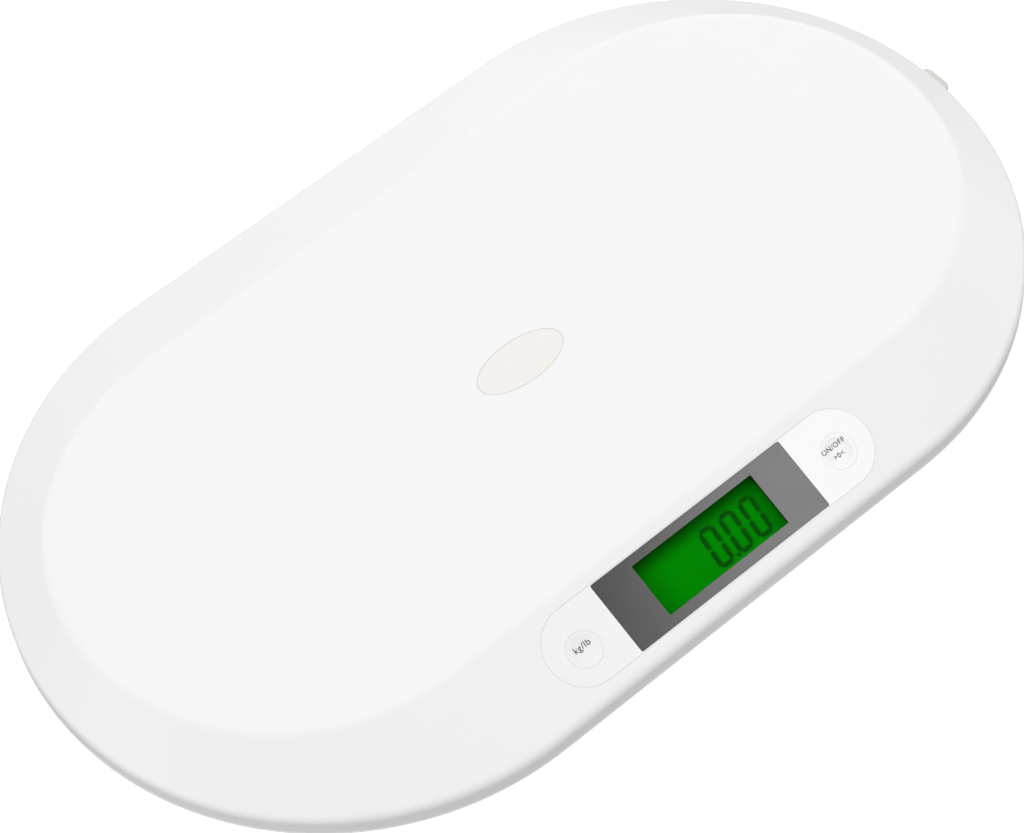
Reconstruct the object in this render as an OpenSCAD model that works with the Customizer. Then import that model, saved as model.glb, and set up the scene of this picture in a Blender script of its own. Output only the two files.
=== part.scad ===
// Digital baby weighing scale with a raised flat platform, a sloping display panel
// with two keys, four load-cell feet, a battery bay and a built-in measuring tape.
// Millimetres. The floor is z = 0, the display faces -Y and the tape comes out at +X.

/* [Tray] */
// Length of the tray
tray_len = 552; // [500:1:620]
// Width of the tray
tray_w = 326; // [310:1:350]
// Height of the skirt's lower edge above the floor
skirt_z = 11.4; // [10:0.2:16]
// Height of the upright part of the skirt
skirt_h = 9.3; // [8.5:0.1:12]
// Radius of the rim between the skirt and the slopes
rim_r = 5; // [4:0.5:7]
// Height of the platform above the upright part of the skirt
crown_h = 23.3; // [22:0.1:28]
// Radius of the soft edge round the platform
crown_r = 8; // [6:1:14]
// Width of the slopes at the two ends
end_band = 26.5; // [24:0.5:34]
// Width of the slope that carries the display panel
front_band = 51.5; // [50:0.5:56]
// Width of the slope at the back
back_band = 46; // [30:0.5:50]
// Wall thickness of the tray
wall = 2.6; // [2.2:0.1:3]
// Thickness of the ribs under the platform
rib_t = 1.6; // [1.2:0.1:2.4]
// Depth of the ribs under the platform
rib_h = 5; // [3:0.5:7]
// Length of the oval label
label_l = 50; // [40:1:60]
// Width of the oval label
label_w = 24.5; // [20:0.5:30]
// How far the label lies towards the display from the tray's middle
label_y = 4.2; // [0:0.2:8]
// How far the label lies to the left of the tray's middle
label_x = 2.2; // [0:0.2:8]
// Thickness of the oval label
label_t = 0.25; // [0.1:0.05:0.3]
// Depth of the recess that the label lies in
label_in = 0.3; // [0.3:0.1:0.6]

/* [Display panel] */
// Distance up the front slope from its foot to the panel's middle
panel_up = 24.4; // [23.5:0.1:25]
// Length of the overlay film
panel_l = 196; // [190:1:205]
// Depth of the overlay film, measured up the slope
panel_d = 39.8; // [38:0.2:41]
// Thickness of the overlay film
film_t = 0.6; // [0.4:0.1:0.8]
// Length of the smoked window
window_l = 117; // [110:1:120]
// Width of the strip of film before and behind the window
film_strip = 0.6; // [0.5:0.1:1.5]
// Thickness of the smoked window
window_t = 1.6; // [1.2:0.1:1.8]
// Corner radius of the smoked window
window_r = 1; // [0.5:0.1:3]
// Length of the lit part of the display
view_l = 74; // [66:1:76]
// Depth of the lit part of the display
view_d = 28.4; // [24:0.2:29]
// Height of a lit digit
digit_h = 20.8; // [18:0.2:22]
// Width of a lit digit
digit_w = 8.8; // [8:0.2:9.4]
// Distance from one digit to the next
digit_pitch = 12.2; // [11.6:0.1:13]
// Distance of the last digit's middle from the right edge of the lit part
digit_right = 10; // [7:0.5:14]
// How far the digits lie below the middle of the lit part
digit_low = 1.8; // [0:0.2:2.4]
// Lean of the digits in degrees
digit_lean = 4; // [0:1:8]
// Width of a digit's strokes
stroke = 2; // [1.4:0.1:2.4]
// Number of lit digits
digits = 3; // [1:1:4]

/* [Keys] */
// Distance of each key's middle from the end of the panel
key_in = 18.8; // [17:0.2:20]
// How far the keys lie below the middle of the panel
key_low = 2; // [0:0.2:4]
// Radius of a key's face
key_r = 8.9; // [7:0.1:9.4]
// Depth of the dish in a key's face
key_dish = 1.1; // [0.4:0.1:1.4]
// Travel of a key
key_travel = 0.5; // [0.3:0.1:0.6]

/* [Display parts] */
// Thickness of the foam gasket
gasket_t = 0.8; // [0.6:0.1:1.2]
// Thickness of the display glass
glass_t = 2.2; // [1.8:0.1:2.6]
// Thickness of the back light
light_t = 3; // [2.6:0.1:3.6]
// How far the display glass reaches beyond the lit part, on each side
glass_edge = 3.6; // [3:0.1:4]
// Wall thickness of the display frame
frame_t = 2.2; // [1.6:0.1:2.6]
// Depth of the main board
board_d = 40; // [38:0.5:42]
// Thickness of the main board
board_t = 1.6; // [1.2:0.2:2]
// Width of a key switch
switch_w = 6; // [5:0.5:7]
// Height of a key switch's body
switch_h = 3.5; // [3.2:0.1:3.8]
// Radius of a key switch's plunger
plunger_r = 1.7; // [1.4:0.1:2]

/* [Feet] */
// Distance of each foot's middle from the tray's end
foot_in_x = 91; // [86:1:100]
// Distance of each foot's middle from the tray's long side
foot_in_y = 75; // [72:1:84]
// Radius of a foot cup
cup_r = 25; // [24:0.5:26]
// Radius of a foot's rubber pad
pad_r = 21; // [16:0.5:22]
// Thickness of a rubber pad
pad_t = 4; // [3:0.5:5]
// How deep a pad sits in its cup
pad_sunk = 1.5; // [1:0.1:2]
// Thickness of a cup's floor
cup_floor = 2.5; // [2:0.1:3.5]
// Radius of the flange that keeps a cup in the scale
flange_r = 27.5; // [27:0.1:28.5]
// Thickness of that flange
flange_t = 2; // [1.5:0.1:2.5]
// Side of a square load cell
cell_w = 30; // [28:0.5:31]
// Thickness of a load cell
cell_t = 2.4; // [2:0.1:3]
// Width of a load cell's outer frame
cell_frame = 4; // [3.5:0.1:5]
// Width of a load cell's tongue
tongue_w = 12; // [9:0.5:13]
// Height of the load cell's seat above the floor
cell_z = 20; // [19:0.2:21]
// Upward travel of a foot before its load cell bears on its pin
foot_travel = 0.5; // [0.3:0.1:0.6]
// Radius of the post that carries a load pin
post_r = 5; // [4:0.5:6]
// Radius of a load pin
pin_r = 2; // [1.5:0.1:2.5]
// How far a load pin stands out of its post
pin_out = 2; // [1.5:0.1:3]
// Depth of a load pin in its post
pin_in = 8; // [6:0.5:10]
// Wall thickness of a foot's guide ring
ring_t = 2; // [1.6:0.1:2.6]

/* [Bottom cover] */
// Thickness of the bottom cover
cover_t = 2.4; // [2:0.1:2.6]
// How deep the bottom cover sits inside the skirt
cover_in = 0.6; // [0.4:0.1:1.2]
// Radius of a screw well in the cover
well_r = 5; // [4.6:0.1:6]
// Height of a screw well above the cover's inner face
well_h = 6; // [5:0.5:7]

/* [Battery bay] */
// Distance of the bay's middle behind the tray's middle
bay_y = 55; // [50:1:62]
// Diameter of a cell
aaa_d = 10.5; // [10:0.1:10.5]
// Length of a cell, with its button
aaa_l = 44.5; // [44:0.1:44.5]
// Number of cells
aaa_n = 4; // [2:1:4]
// Distance from one cell to the next
aaa_pitch = 10.9; // [10.8:0.1:11.4]
// Free length of a battery spring
spring_l = 4.7; // [4:0.1:6]
// Wall thickness of the bay
bay_wall = 1.6; // [1.4:0.1:2.4]
// Thickness of the battery door
door_t = 1.8; // [1.6:0.1:1.9]
// How far the door overlaps the bay on each side
door_lap = 2; // [1.6:0.1:3]
// Radius of the door's hinge pins
hinge_r = 0.8; // [0.7:0.05:0.85]
// Length of the door's hinge pins
hinge_l = 3; // [2:0.5:4]

/* [Measuring tape] */
// Distance of the spool's axis from the tray's end
spool_in = 40; // [39:0.5:46]
// Outer radius of the wound tape
roll_r = 11; // [10:0.1:11]
// Radius of the spool's hub
hub_r = 7.5; // [6:0.1:8]
// Width of the tape
tape_w = 10; // [8:0.5:11]
// Thickness of the tape where it leaves the roll
tape_t = 0.2; // [0.15:0.05:0.3]
// How far the spool's flanges stand out beyond the wound tape
spool_lip = 0.6; // [0.4:0.1:0.8]
// Radius of the post that the spool turns on
arbor_r = 2; // [1.6:0.1:2.2]
// Wall thickness of the cassette
case_t = 1.2; // [1:0.1:1.5]
// How far the pull tab stands out of the skirt
tab_out = 6; // [5:0.1:6.2]
// Width of the pull tab
tab_w = 18; // [14:0.5:20]
// Thickness of the pull tab
tab_t = 5; // [4:0.2:6]
// Corner radius of the pull tab
tab_r = 4; // [2:0.5:4.5]

/* [Fasteners and leads] */
// Distance of the end screws from the tray's ends
end_screw_in = 51; // [48:1:56]
// Distance of the end screws from the tray's middle line
end_screw_y = 50; // [44:1:56]
// Distance of the front and back screws from the tray's middle
mid_screw_x = 100; // [92:1:108]
// Distance of the front and back screws from the platform's edge
screw_edge = 13.5; // [12:0.5:16]
// Length of a small screw's shank in the plastic
small_in = 4; // [3:0.5:5]
// Radius of a cover screw's shank
screw_r = 1.5; // [1.2:0.1:1.7]
// Length of a cover screw's shank
screw_l = 12; // [9:0.5:14]
// Radius of a small screw's shank
small_r = 1; // [0.8:0.1:1.1]
// Radius of a lead
lead_r = 0.8; // [0.6:0.1:1]

/* [Clearances] */
// Gap round parts that are let into one another
fit = 0.2; // [0.1:0.05:0.3]
// Radial clearance of what slides or turns in a bore
run = 0.06; // [0.04:0.01:0.1]
// Gap between pieces that move past each other
gap = 0.3; // [0.3:0.05:0.4]
// Gap between the bottom cover and the skirt
cover_gap = 0.4; // [0.3:0.05:0.8]

/* [Hidden] */

$fn = 64;
sliver = 0.02;      // thickness of the slices that the tray's form is stretched over
cut = 1;            // how far a cutting shape runs past what it cuts
bite = 0.4;         // how far a boss reaches into the wall that carries it
ears = [-1, 1];     // the two mirrored sides

// Heights
wall_top = skirt_z + skirt_h;
top_z = wall_top + crown_h;
ceiling = top_z - wall;
cover_z = skirt_z + cover_in;
cover_top = cover_z + cover_t;
well_top = cover_top + well_h;

// Racetrack outlines of the rim and of the platform
rim_half = tray_len / 2 - tray_w / 2;
top_r = (tray_w - front_band - back_band) / 2;
top_half = tray_len / 2 - end_band - top_r;
top_shift = (front_band - back_band) / 2;

// The front slope is the common tangent of the rim's round and the platform's soft edge
rim_c = [-(tray_w / 2 - rim_r), wall_top];
crown_c = [-(tray_w / 2 - front_band), top_z - crown_r];
panel_tilt = atan2(crown_c[1] - rim_c[1], crown_c[0] - rim_c[0])
    + asin((crown_r - rim_r) / norm(crown_c - rim_c));
slope_foot = rim_c + rim_r * [-sin(panel_tilt), cos(panel_tilt)];

// The arcs of the rim and of the platform's edge, in steps that meet the front slope's ends
rim_steps = 3;
crown_steps = 4;
rim_step = (90 - panel_tilt) / rim_steps;
crown_step = 2 * panel_tilt / crown_steps;

// The middle of the panel
panel_y = slope_foot[0] + panel_up * cos(panel_tilt);
panel_z = slope_foot[1] + panel_up * sin(panel_tilt);

// Levels under the panel's surface, along its normal
window_d = panel_d - 2 * film_strip;
glass_top = -wall - gasket_t;
glass_low = glass_top - glass_t;
board_top = glass_low - light_t;
board_low = board_top - board_t;
key_x = panel_l / 2 - key_in;
key_hole = key_r + run;
switch_top = board_top + switch_h;
key_lip_t = 1;
key_lip = 1.7;
key_lip_r = key_r + key_lip;
key_lip_top = -wall - gap;
stem_low = switch_top + key_travel + gap;
stem_wall = 0.6;
hole_edge = 0.5;
hole_l = view_l + 2 * hole_edge;
hole_d = view_d + 2 * hole_edge;
strip_w = 2;
glass_l = view_l + 2 * glass_edge;
glass_d = view_d + 2 * glass_edge;
frame_l = glass_l + 2 * (fit + frame_t);
board_boss_r = 3;
board_edge = 0.4;
boss_space = 1.8;
board_boss_x = frame_l / 2 + 2 * board_boss_r + boss_space;
board_boss_y = board_d / 2 - board_boss_r - boss_space;
board_end_x = key_x + key_lip_r + boss_space + board_boss_r;
board_l = 2 * (board_end_x + board_boss_r + board_edge);
board_boss = [for (sx = ears) each [[sx * board_boss_x, board_boss_y],
    [sx * board_boss_x, -board_boss_y], [sx * board_end_x, 0]]];

// Screws that hold the cover to the tray
end_screw_x = tray_len / 2 - end_screw_in;
front_screw_y = -(tray_w / 2 - front_band - screw_edge);
back_screw_y = tray_w / 2 - back_band - screw_edge;
cover_screw = [for (sx = ears) each [[sx * end_screw_x, end_screw_y],
    [sx * end_screw_x, -end_screw_y], [sx * mid_screw_x, front_screw_y],
    [sx * mid_screw_x, back_screw_y]]];
boss_wall = 2.5;
boss_r = screw_r + boss_wall;
head_r = 2 * screw_r;
head_t = 1.4 * screw_r;
well_seat = well_top - cover_t;
small_head_r = 2 * small_r;
small_head_t = 1.4 * small_r;

// Feet, numbered front left, front right, back left, back right
foot_x = tray_len / 2 - foot_in_x;
foot_y = tray_w / 2 - foot_in_y;
foot_at = [[-foot_x, -foot_y], [foot_x, -foot_y], [-foot_x, foot_y], [foot_x, foot_y]];
cup_z = pad_t - pad_sunk;
cup_top = cell_z + cell_t;
flange_z = cover_top + gap;
guide_r = flange_r + gap;
pin_z = cup_top + foot_travel;
post_z = pin_z + pin_out;
slot_w = cell_w - 2 * cell_frame;
lead_notch = 6;

// Battery bay
contact_t = 0.4;
bay_l = aaa_l + spring_l + 2 * contact_t;
bay_w = aaa_n * aaa_pitch + fit;
aaa_r = aaa_d / 2;
aaa_nub_r = 1.9;
aaa_nub_l = 0.8;
aaa_z = cover_z + door_t + gap + aaa_r;
bay_room = 0.4;
bay_ceiling = aaa_z + aaa_r + bay_room;
door_l = bay_l + 2 * door_lap;
door_w = bay_w + 2 * door_lap;
door_top = cover_z + door_t;
knuckle_r = 0.6;
hinge_y = bay_y - door_w / 2;
hinge_z = door_top - knuckle_r;
function aaa_y(i) = bay_y + (i - (aaa_n - 1) / 2) * aaa_pitch;

// Measuring tape, wound on an axis along Y, leaving the roll at its lowest point
spool_x = tray_len / 2 - spool_in;
case_floor_t = 0.7;
case_low = cover_top + case_floor_t;
spool_rim = roll_r + spool_lip;
spool_z = case_low + gap + spool_rim;
tape_top = spool_z - roll_r - gap;
tape_low = tape_top - tape_t;
lip_t = 0.8;
spool_half = tape_w / 2 + gap + lip_t;
case_y = spool_half + gap;
case_x = spool_rim + gap + case_t;
case_high = spool_z + spool_rim + gap + case_t;
channel_w = tape_w + 2 * gap;
mouth_wall = 3;
mouth_roof = 1.2;
mouth_w = channel_w + 2 * mouth_wall;
mouth_top = tape_top + gap + mouth_roof;
mouth_x = tray_len / 2 - fit;
tab_x = tray_len / 2 + gap;
tab_len = tab_out - gap;
tab_drop = 0.6;
tab_z = (tape_top + tape_low) / 2 - tab_t / 2 - tab_drop;
tab_grip = 3;
ear_t = 2;
ear_w = 8;
ear_out = 3.6;
ear_up = 3;
ear_y = case_y + case_t + ear_out;
ear_z = spool_z + ear_up;
ear_boss_r = 3.2;
spring_turns = 6;

// ---------- shared shapes ----------

module racetrack(l, w) {
    for (sx = ears) translate([sx * (l - w) / 2, 0]) circle(d = w);
    square([l - w, w], center = true);
}

module soft_rect(l, w, r) {
    for (sx = ears, sy = ears) translate([sx * (l / 2 - r), sy * (w / 2 - r)]) circle(r = r);
    square([l - 2 * r, w], center = true);
    square([l, w - 2 * r], center = true);
}

// A box centred in x and y that stands on z = 0
module block(l, w, h) {
    translate([-l / 2, -w / 2, 0]) cube([l, w, h]);
}

// Puts its children on the panel: x along it, y up the slope, z out of it
module on_panel() {
    translate([0, panel_y, panel_z]) rotate([panel_tilt, 0, 0]) children();
}

// A layer of the panel between two levels
module layer(low, high) {
    translate([0, 0, low]) linear_extrude(high - low) children();
}

module at_key(side) {
    translate([side * key_x, -key_low, 0]) children();
}

// Two level discs, one over each end of the tray, that meet the tray's form at height z;
// each is a thin cone whose other face lies inside the form, below z or above it
module disc_below(half, shift, r, z) {
    for (sx = ears) translate([sx * half, shift, z - sliver]) cylinder(r1 = r / 2, r2 = r, h = sliver);
}

module disc_above(half, shift, r, z) {
    for (sx = ears) translate([sx * half, shift, z]) cylinder(r1 = r, r2 = r / 2, h = sliver);
}

// The tray's outer form, drawn in by inset on every side, down to the level low
module tray_form(inset, low) {
    hull() {
        disc_above(rim_half, 0, tray_w / 2 - inset, low);
        for (k = [0 : rim_steps]) let(a = k * rim_step)
            disc_above(rim_half, 0, tray_w / 2 - rim_r + (rim_r - inset) * cos(a),
                wall_top + (rim_r - inset) * sin(a));
        for (k = [0 : crown_steps]) let(a = k * crown_step)
            disc_below(top_half, top_shift, top_r + (crown_r - inset) * sin(a),
                top_z - crown_r + (crown_r - inset) * cos(a));
    }
}

// ---------- tray ----------

module foot_guide(at) {
    translate([at[0], at[1], cover_top + gap]) difference() {
        cylinder(r = guide_r + ring_t, h = top_z - cover_top);
        translate([0, 0, -cut]) cylinder(r = guide_r, h = top_z);
        translate([-sign(at[0]) * guide_r, 0, -cut])
            block(4 * ring_t, lead_notch, post_z - cover_top + lead_notch);
    }
    translate([at[0], at[1], post_z]) cylinder(r = post_r, h = top_z - post_z);
}

// Two ribs along the tray and four across it, laid out from the platform's outline
module ribs() {
    long_rib = 2 * (top_half + top_r / 6);
    cross_rib = 2 * (top_r - 15);
    long_at = 0.38 * top_r;
    cross_pitch = 0.72 * top_half;
    for (sy = ears)
        translate([0, top_shift + sy * long_at, ceiling - rib_h])
            block(long_rib, rib_t, rib_h + bite);
    for (k = [-1.5 : 1 : 1.5])
        translate([k * cross_pitch, top_shift, ceiling - rib_h])
            block(rib_t, cross_rib, rib_h + bite);
}

// What hangs from the platform inside the tray
module tray_inside() {
    for (p = foot_at) foot_guide(p);
    for (p = cover_screw)
        translate([p[0], p[1], well_top]) cylinder(r = boss_r, h = top_z - well_top);
    for (sy = ears)
        translate([spool_x, sy * ear_y, ear_z + ear_t])
            cylinder(r = ear_boss_r, h = top_z - ear_z);
    ribs();
}

module tray_shell() {
    color("white") difference() {
        union() {
            difference() {
                tray_form(0, skirt_z);
                tray_form(wall, skirt_z - cut);
            }
            intersection() {
                tray_form(wall / 2, skirt_z - cut);
                tray_inside();
            }
            on_panel() for (p = board_boss)
                translate([p[0], p[1], board_top])
                    cylinder(r = board_boss_r, h = -board_top - wall + bite);
        }
        on_panel() {
            layer(-film_t, cut) racetrack(panel_l, panel_d);
            layer(-window_t, cut) soft_rect(window_l, window_d, window_r);
            layer(-wall - cut, cut) square([hole_l, hole_d], center = true);
            for (s = ears) at_key(s) layer(-wall - cut, cut) circle(r = key_hole);
            for (p = board_boss)
                translate([p[0], p[1], board_top - cut])
                    cylinder(r = small_r + run, h = -board_top - wall);
        }
        for (p = cover_screw)
            translate([p[0], p[1], well_top - cut]) cylinder(r = screw_r + run, h = screw_l + cut);
        for (p = foot_at)
            translate([p[0], p[1], post_z - cut]) cylinder(r = pin_r + run, h = pin_in + cut);
        for (sy = ears)
            translate([spool_x, sy * ear_y, ear_z]) cylinder(r = small_r + run, h = ear_t + small_in + cut);
        translate([-label_x, -label_y, top_z - label_in]) linear_extrude(label_in + cut)
            oval(label_l + 2 * fit, label_w + 2 * fit);
        translate([rim_half, -mouth_w / 2 - fit, cover_top - fit])
            cube([tray_w, mouth_w + 2 * fit, mouth_top - cover_top + 2 * fit]);
    }
}

module oval(l, w) {
    polygon([for (a = [0 : 5 : 355]) [l / 2 * cos(a), w / 2 * sin(a)]]);
}

module centre_label() {
    color("linen") translate([-label_x, -label_y, top_z - label_in]) linear_extrude(label_t)
        oval(label_l, label_w);
}

module load_pins() {
    color("silver") for (p = foot_at)
        translate([p[0], p[1], pin_z]) cylinder(r = pin_r, h = pin_out + pin_in);
}

// ---------- bottom cover ----------

module bottom_cover() {
    inner = wall + cover_gap;
    bay_out_l = bay_l + 2 * bay_wall;
    bay_out_w = bay_w + 2 * bay_wall;
    finger_r = 9;
    color("white") difference() {
        union() {
            translate([0, 0, cover_z]) linear_extrude(cover_t)
                racetrack(tray_len - 2 * inner, tray_w - 2 * inner);
            translate([0, bay_y, cover_z])
                block(bay_out_l, bay_out_w, bay_ceiling + bay_wall - cover_z);
            for (p = cover_screw)
                translate([p[0], p[1], cover_z]) cylinder(r = well_r, h = well_top - cover_z);
        }
        translate([0, bay_y, cover_z - cut])
            block(bay_l, bay_w, bay_ceiling - cover_z + cut);
        translate([-door_l / 2 - fit, hinge_y - door_t + fit, cover_z - cut])
            cube([door_l + 2 * fit, door_w + door_t, door_t + cut]);
        translate([-door_l / 2 - hinge_l - fit, hinge_y, hinge_z]) rotate([0, 90, 0])
            cylinder(r = hinge_r + run, h = door_l + 2 * hinge_l + 2 * fit);
        translate([0, hinge_y + door_w + finger_r / 2, cover_z - cut])
            cylinder(r = finger_r, h = cut + door_t / 2);
        for (p = foot_at)
            translate([p[0], p[1], cover_z - cut])
                cylinder(r = cup_r + cover_gap, h = cover_t + 2 * cut);
        for (p = cover_screw) translate([p[0], p[1], cover_z - cut]) {
            cylinder(r = head_r + gap, h = well_seat - cover_z + cut);
            cylinder(r = screw_r + gap, h = well_top - cover_z + 2 * cut);
        }
    }
}

module cover_screws() {
    slot_l = 1.4 * head_r;
    slot_t = 0.3 * head_r;
    color("gainsboro") for (p = cover_screw) translate([p[0], p[1], 0]) difference() {
        union() {
            translate([0, 0, well_seat - head_t]) cylinder(r = head_r, h = head_t);
            translate([0, 0, well_seat]) cylinder(r = screw_r, h = screw_l);
        }
        for (a = [0, 90]) translate([0, 0, well_seat - head_t - cut]) rotate([0, 0, a])
            block(slot_l, slot_t, cut + head_t / 2);
    }
}

module battery_door() {
    slot = 1;
    tongue_l = 16;
    tongue_w = 9;
    color("white") difference() {
        union() {
            translate([-door_l / 2, hinge_y, cover_z]) cube([door_l, door_w, door_t]);
            translate([-door_l / 2, hinge_y, hinge_z]) rotate([0, 90, 0])
                cylinder(r = knuckle_r, h = door_l);
            translate([-door_l / 2 - hinge_l, hinge_y, hinge_z]) rotate([0, 90, 0])
                cylinder(r = hinge_r, h = door_l + 2 * hinge_l);
        }
        for (s = ears) translate([s * tongue_l / 2, hinge_y + door_w, cover_z - cut])
            block(slot, 2 * tongue_w, door_t + 2 * cut);
    }
}

// ---------- batteries ----------

// Even cells point to +X and odd cells to -X
module at_cell(i) {
    translate([0, aaa_y(i), aaa_z]) rotate([0, 0, i % 2 == 0 ? 0 : 180]) rotate([0, 90, 0]) children();
}
nub_end = bay_l / 2 - contact_t;

module battery(i) {
    if (i < aaa_n) at_cell(i) {
        color("darkgreen") translate([0, 0, nub_end - aaa_l])
            cylinder(r = aaa_r, h = aaa_l - aaa_nub_l);
        color("silver") translate([0, 0, nub_end - aaa_nub_l])
            cylinder(r = aaa_nub_r, h = aaa_nub_l);
    }
}

module battery_springs() {
    wire = 0.6;
    wide = 0.8 * aaa_r;
    narrow = 0.45 * aaa_r;
    color("silver") for (i = [0 : aaa_n - 1]) at_cell(i)
        translate([0, 0, -bay_l / 2 + contact_t]) rotate_extrude()
            polygon([[wide - wire, 0], [wide, 0], [narrow, spring_l], [narrow - wire, spring_l]]);
}

module battery_plates() {
    plate_edge = 1.5;
    side = aaa_d - plate_edge;
    color("silver") for (i = [0 : aaa_n - 1]) at_cell(i) {
        translate([0, 0, -bay_l / 2]) block(side, side, contact_t);
        translate([0, 0, nub_end]) block(side, side, contact_t);
    }
}

// ---------- display panel ----------

module overlay_film() {
    color("white") on_panel() layer(-film_t, 0) difference() {
        racetrack(panel_l - fit, panel_d - fit);
        soft_rect(window_l, window_d, window_r);
        for (s = ears) at_key(s) circle(r = key_hole);
    }
}

module display_window() {
    color("dimgray") on_panel() layer(-window_t, 0)
        soft_rect(window_l - fit, window_d - fit, window_r);
}

module lcd_gasket() {
    color("black") on_panel() layer(glass_top, -wall) difference() {
        square([glass_l, glass_d], center = true);
        square([hole_l, hole_d], center = true);
    }
}

module lcd_glass() {
    color("green") on_panel() layer(glass_low, glass_top) square([glass_l, glass_d], center = true);
}

// One stroke of a digit from p to q, pointed at both ends and leaning with the digit
function lean(p) = [p[0] + p[1] * tan(digit_lean), p[1]];

module digit_stroke(p, q) {
    along = stroke / 2 * (q - p) / norm(q - p);
    across = [-along[1], along[0]];
    outline = [p, p + along + across, q - along + across, q, q - along - across, p + along - across];
    polygon([for (point = outline) lean(point)]);
}

// The figure nought: the six strokes round a seven-stroke digit
module digit_nought() {
    slit = 0.25;
    x = (digit_w - stroke) / 2;
    y = (digit_h - stroke) / 2;
    for (sy = ears) {
        digit_stroke([-x + slit, sy * y], [x - slit, sy * y]);
        for (sx = ears) digit_stroke([sx * x, sy * slit], [sx * x, sy * (y - slit)]);
    }
}

module lcd_digits() {
    ink = 0.1;
    last = view_l / 2 - digit_right;
    color("darkgreen") on_panel() layer(glass_top, glass_top + ink) translate([last, -digit_low]) {
        for (k = [0 : digits - 1]) translate([-k * digit_pitch, 0]) digit_nought();
        translate([-1.5 * digit_pitch, -(digit_h - stroke) / 2]) square(0.8 * stroke, center = true);
    }
}

module lcd_frame() {
    color("ivory") on_panel() layer(board_top, glass_top) difference() {
        square([frame_l, glass_d + 2 * (fit + frame_t)], center = true);
        square([glass_l + 2 * fit, glass_d + 2 * fit], center = true);
    }
}

module back_light() {
    light_in = 1;
    color("honeydew") on_panel() layer(board_top, glass_low)
        square([glass_l - 2 * light_in, glass_d - 2 * strip_w - 4 * fit], center = true);
}

module contact_strips() {
    color("darkgray") on_panel() for (sy = ears) translate([0, sy * (glass_d - strip_w) / 2])
        layer(board_top, glass_low) square([view_l, strip_w], center = true);
}

module main_board() {
    color("seagreen") on_panel() layer(board_low, board_top) difference() {
        square([board_l, board_d], center = true);
        for (p = board_boss) translate(p) circle(r = small_r + fit);
    }
}

buzzer_r = 6;
chip_l = 5;
chip_d = 4;
chip_t = 1.6;

module under_board(x, y) {
    translate([x, y, board_low]) mirror([0, 0, 1]) children();
}

// A buzzer, three chips and a row of small parts on the board's lower side
module board_chips() {
    color("dimgray") on_panel() {
        under_board(-2 * buzzer_r, 0) cylinder(r = buzzer_r, h = chip_t);
        for (k = [1 : 3]) under_board(2.4 * k * chip_l, 0) block(chip_l, chip_d, chip_t);
        for (k = [4 : 8])
            under_board(-1.6 * k * chip_l, -chip_d) block(0.6 * chip_l, 0.4 * chip_d, 0.6 * chip_t);
    }
}

socket_l = 11;
socket_x = (view_l - socket_l) / 2;
socket_d = 5;
socket_h = 4.5;
socket_y = board_d / 2 - socket_d / 2 - 1;

module board_connectors() {
    color("ivory") on_panel() for (x = [-socket_x, 0, socket_x])
        translate([x, socket_y, board_low]) mirror([0, 0, 1]) block(socket_l, socket_d, socket_h);
}

module key_switch(side) {
    spare = 1;
    color("black") on_panel() at_key(side) difference() {
        translate([0, 0, board_top]) block(switch_w, switch_w, switch_h);
        translate([0, 0, switch_top - key_travel - spare]) cylinder(r = plunger_r + run, h = switch_h);
    }
}

module board_screws() {
    color("silver") on_panel() for (p = board_boss) translate([p[0], p[1], board_low]) {
        translate([0, 0, -small_head_t]) cylinder(r = small_head_r, h = small_head_t);
        cylinder(r = small_r, h = board_t + small_in);
    }
}

// ---------- keys ----------

module key_cap(side) {
    dish_r = 0.85 * key_r;
    ball = (dish_r * dish_r + key_dish * key_dish) / (2 * key_dish);
    color("white") on_panel() at_key(side) difference() {
        union() {
            layer(key_lip_top - key_lip_t, 0) circle(r = key_r);
            layer(key_lip_top - key_lip_t, key_lip_top) circle(r = key_lip_r);
            layer(stem_low, key_lip_top) circle(r = plunger_r + stem_wall);
        }
        translate([0, 0, ball - key_dish]) sphere(r = ball);
    }
}

module key_plunger(side) {
    color("black") on_panel() at_key(side)
        layer(switch_top - gap - run, stem_low) circle(r = plunger_r);
}

// ---------- measuring tape ----------

// A cylinder along Y, centred on the spool's axis
module on_axis(r, from_y, to_y) {
    translate([spool_x, from_y, spool_z]) rotate([-90, 0, 0]) cylinder(r = r, h = to_y - from_y);
}

module mounting_ear(side) {
    translate([spool_x, side * (case_y + (ear_y + ear_w / 2 - case_y) / 2), ear_z])
        block(ear_w, ear_y + ear_w / 2 - case_y, ear_t);
}

module ear_hole(side) {
    translate([spool_x, side * ear_y, ear_z - cut]) cylinder(r = small_r + fit, h = ear_t + 2 * cut);
}

module tape_cassette() {
    color("gainsboro") {
        difference() {
            union() {
                translate([spool_x - case_x, -case_y - case_t, cover_top])
                    cube([2 * case_x, 2 * case_y + case_t, case_high - cover_top]);
                mounting_ear(-1);
            }
            translate([spool_x - case_x + case_t, -case_y, case_low])
                cube([2 * (case_x - case_t), 2 * case_y + cut, case_high - case_t - case_low]);
            translate([spool_x, -channel_w / 2, tape_low - gap])
                cube([2 * case_x, channel_w, tape_t + 2 * gap]);
            ear_hole(-1);
        }
        on_axis(arbor_r, -case_y - bite, case_y);
    }
}

module cassette_lid() {
    color("gainsboro") difference() {
        union() {
            translate([spool_x - case_x, case_y, cover_top])
                cube([2 * case_x, case_t, case_high - cover_top]);
            mounting_ear(1);
        }
        ear_hole(1);
    }
}

module cassette_screws() {
    color("silver") for (sy = ears) translate([spool_x, sy * ear_y, ear_z]) {
        translate([0, 0, -small_head_t]) cylinder(r = small_head_r, h = small_head_t);
        cylinder(r = small_r, h = ear_t + small_in);
    }
}

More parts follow.
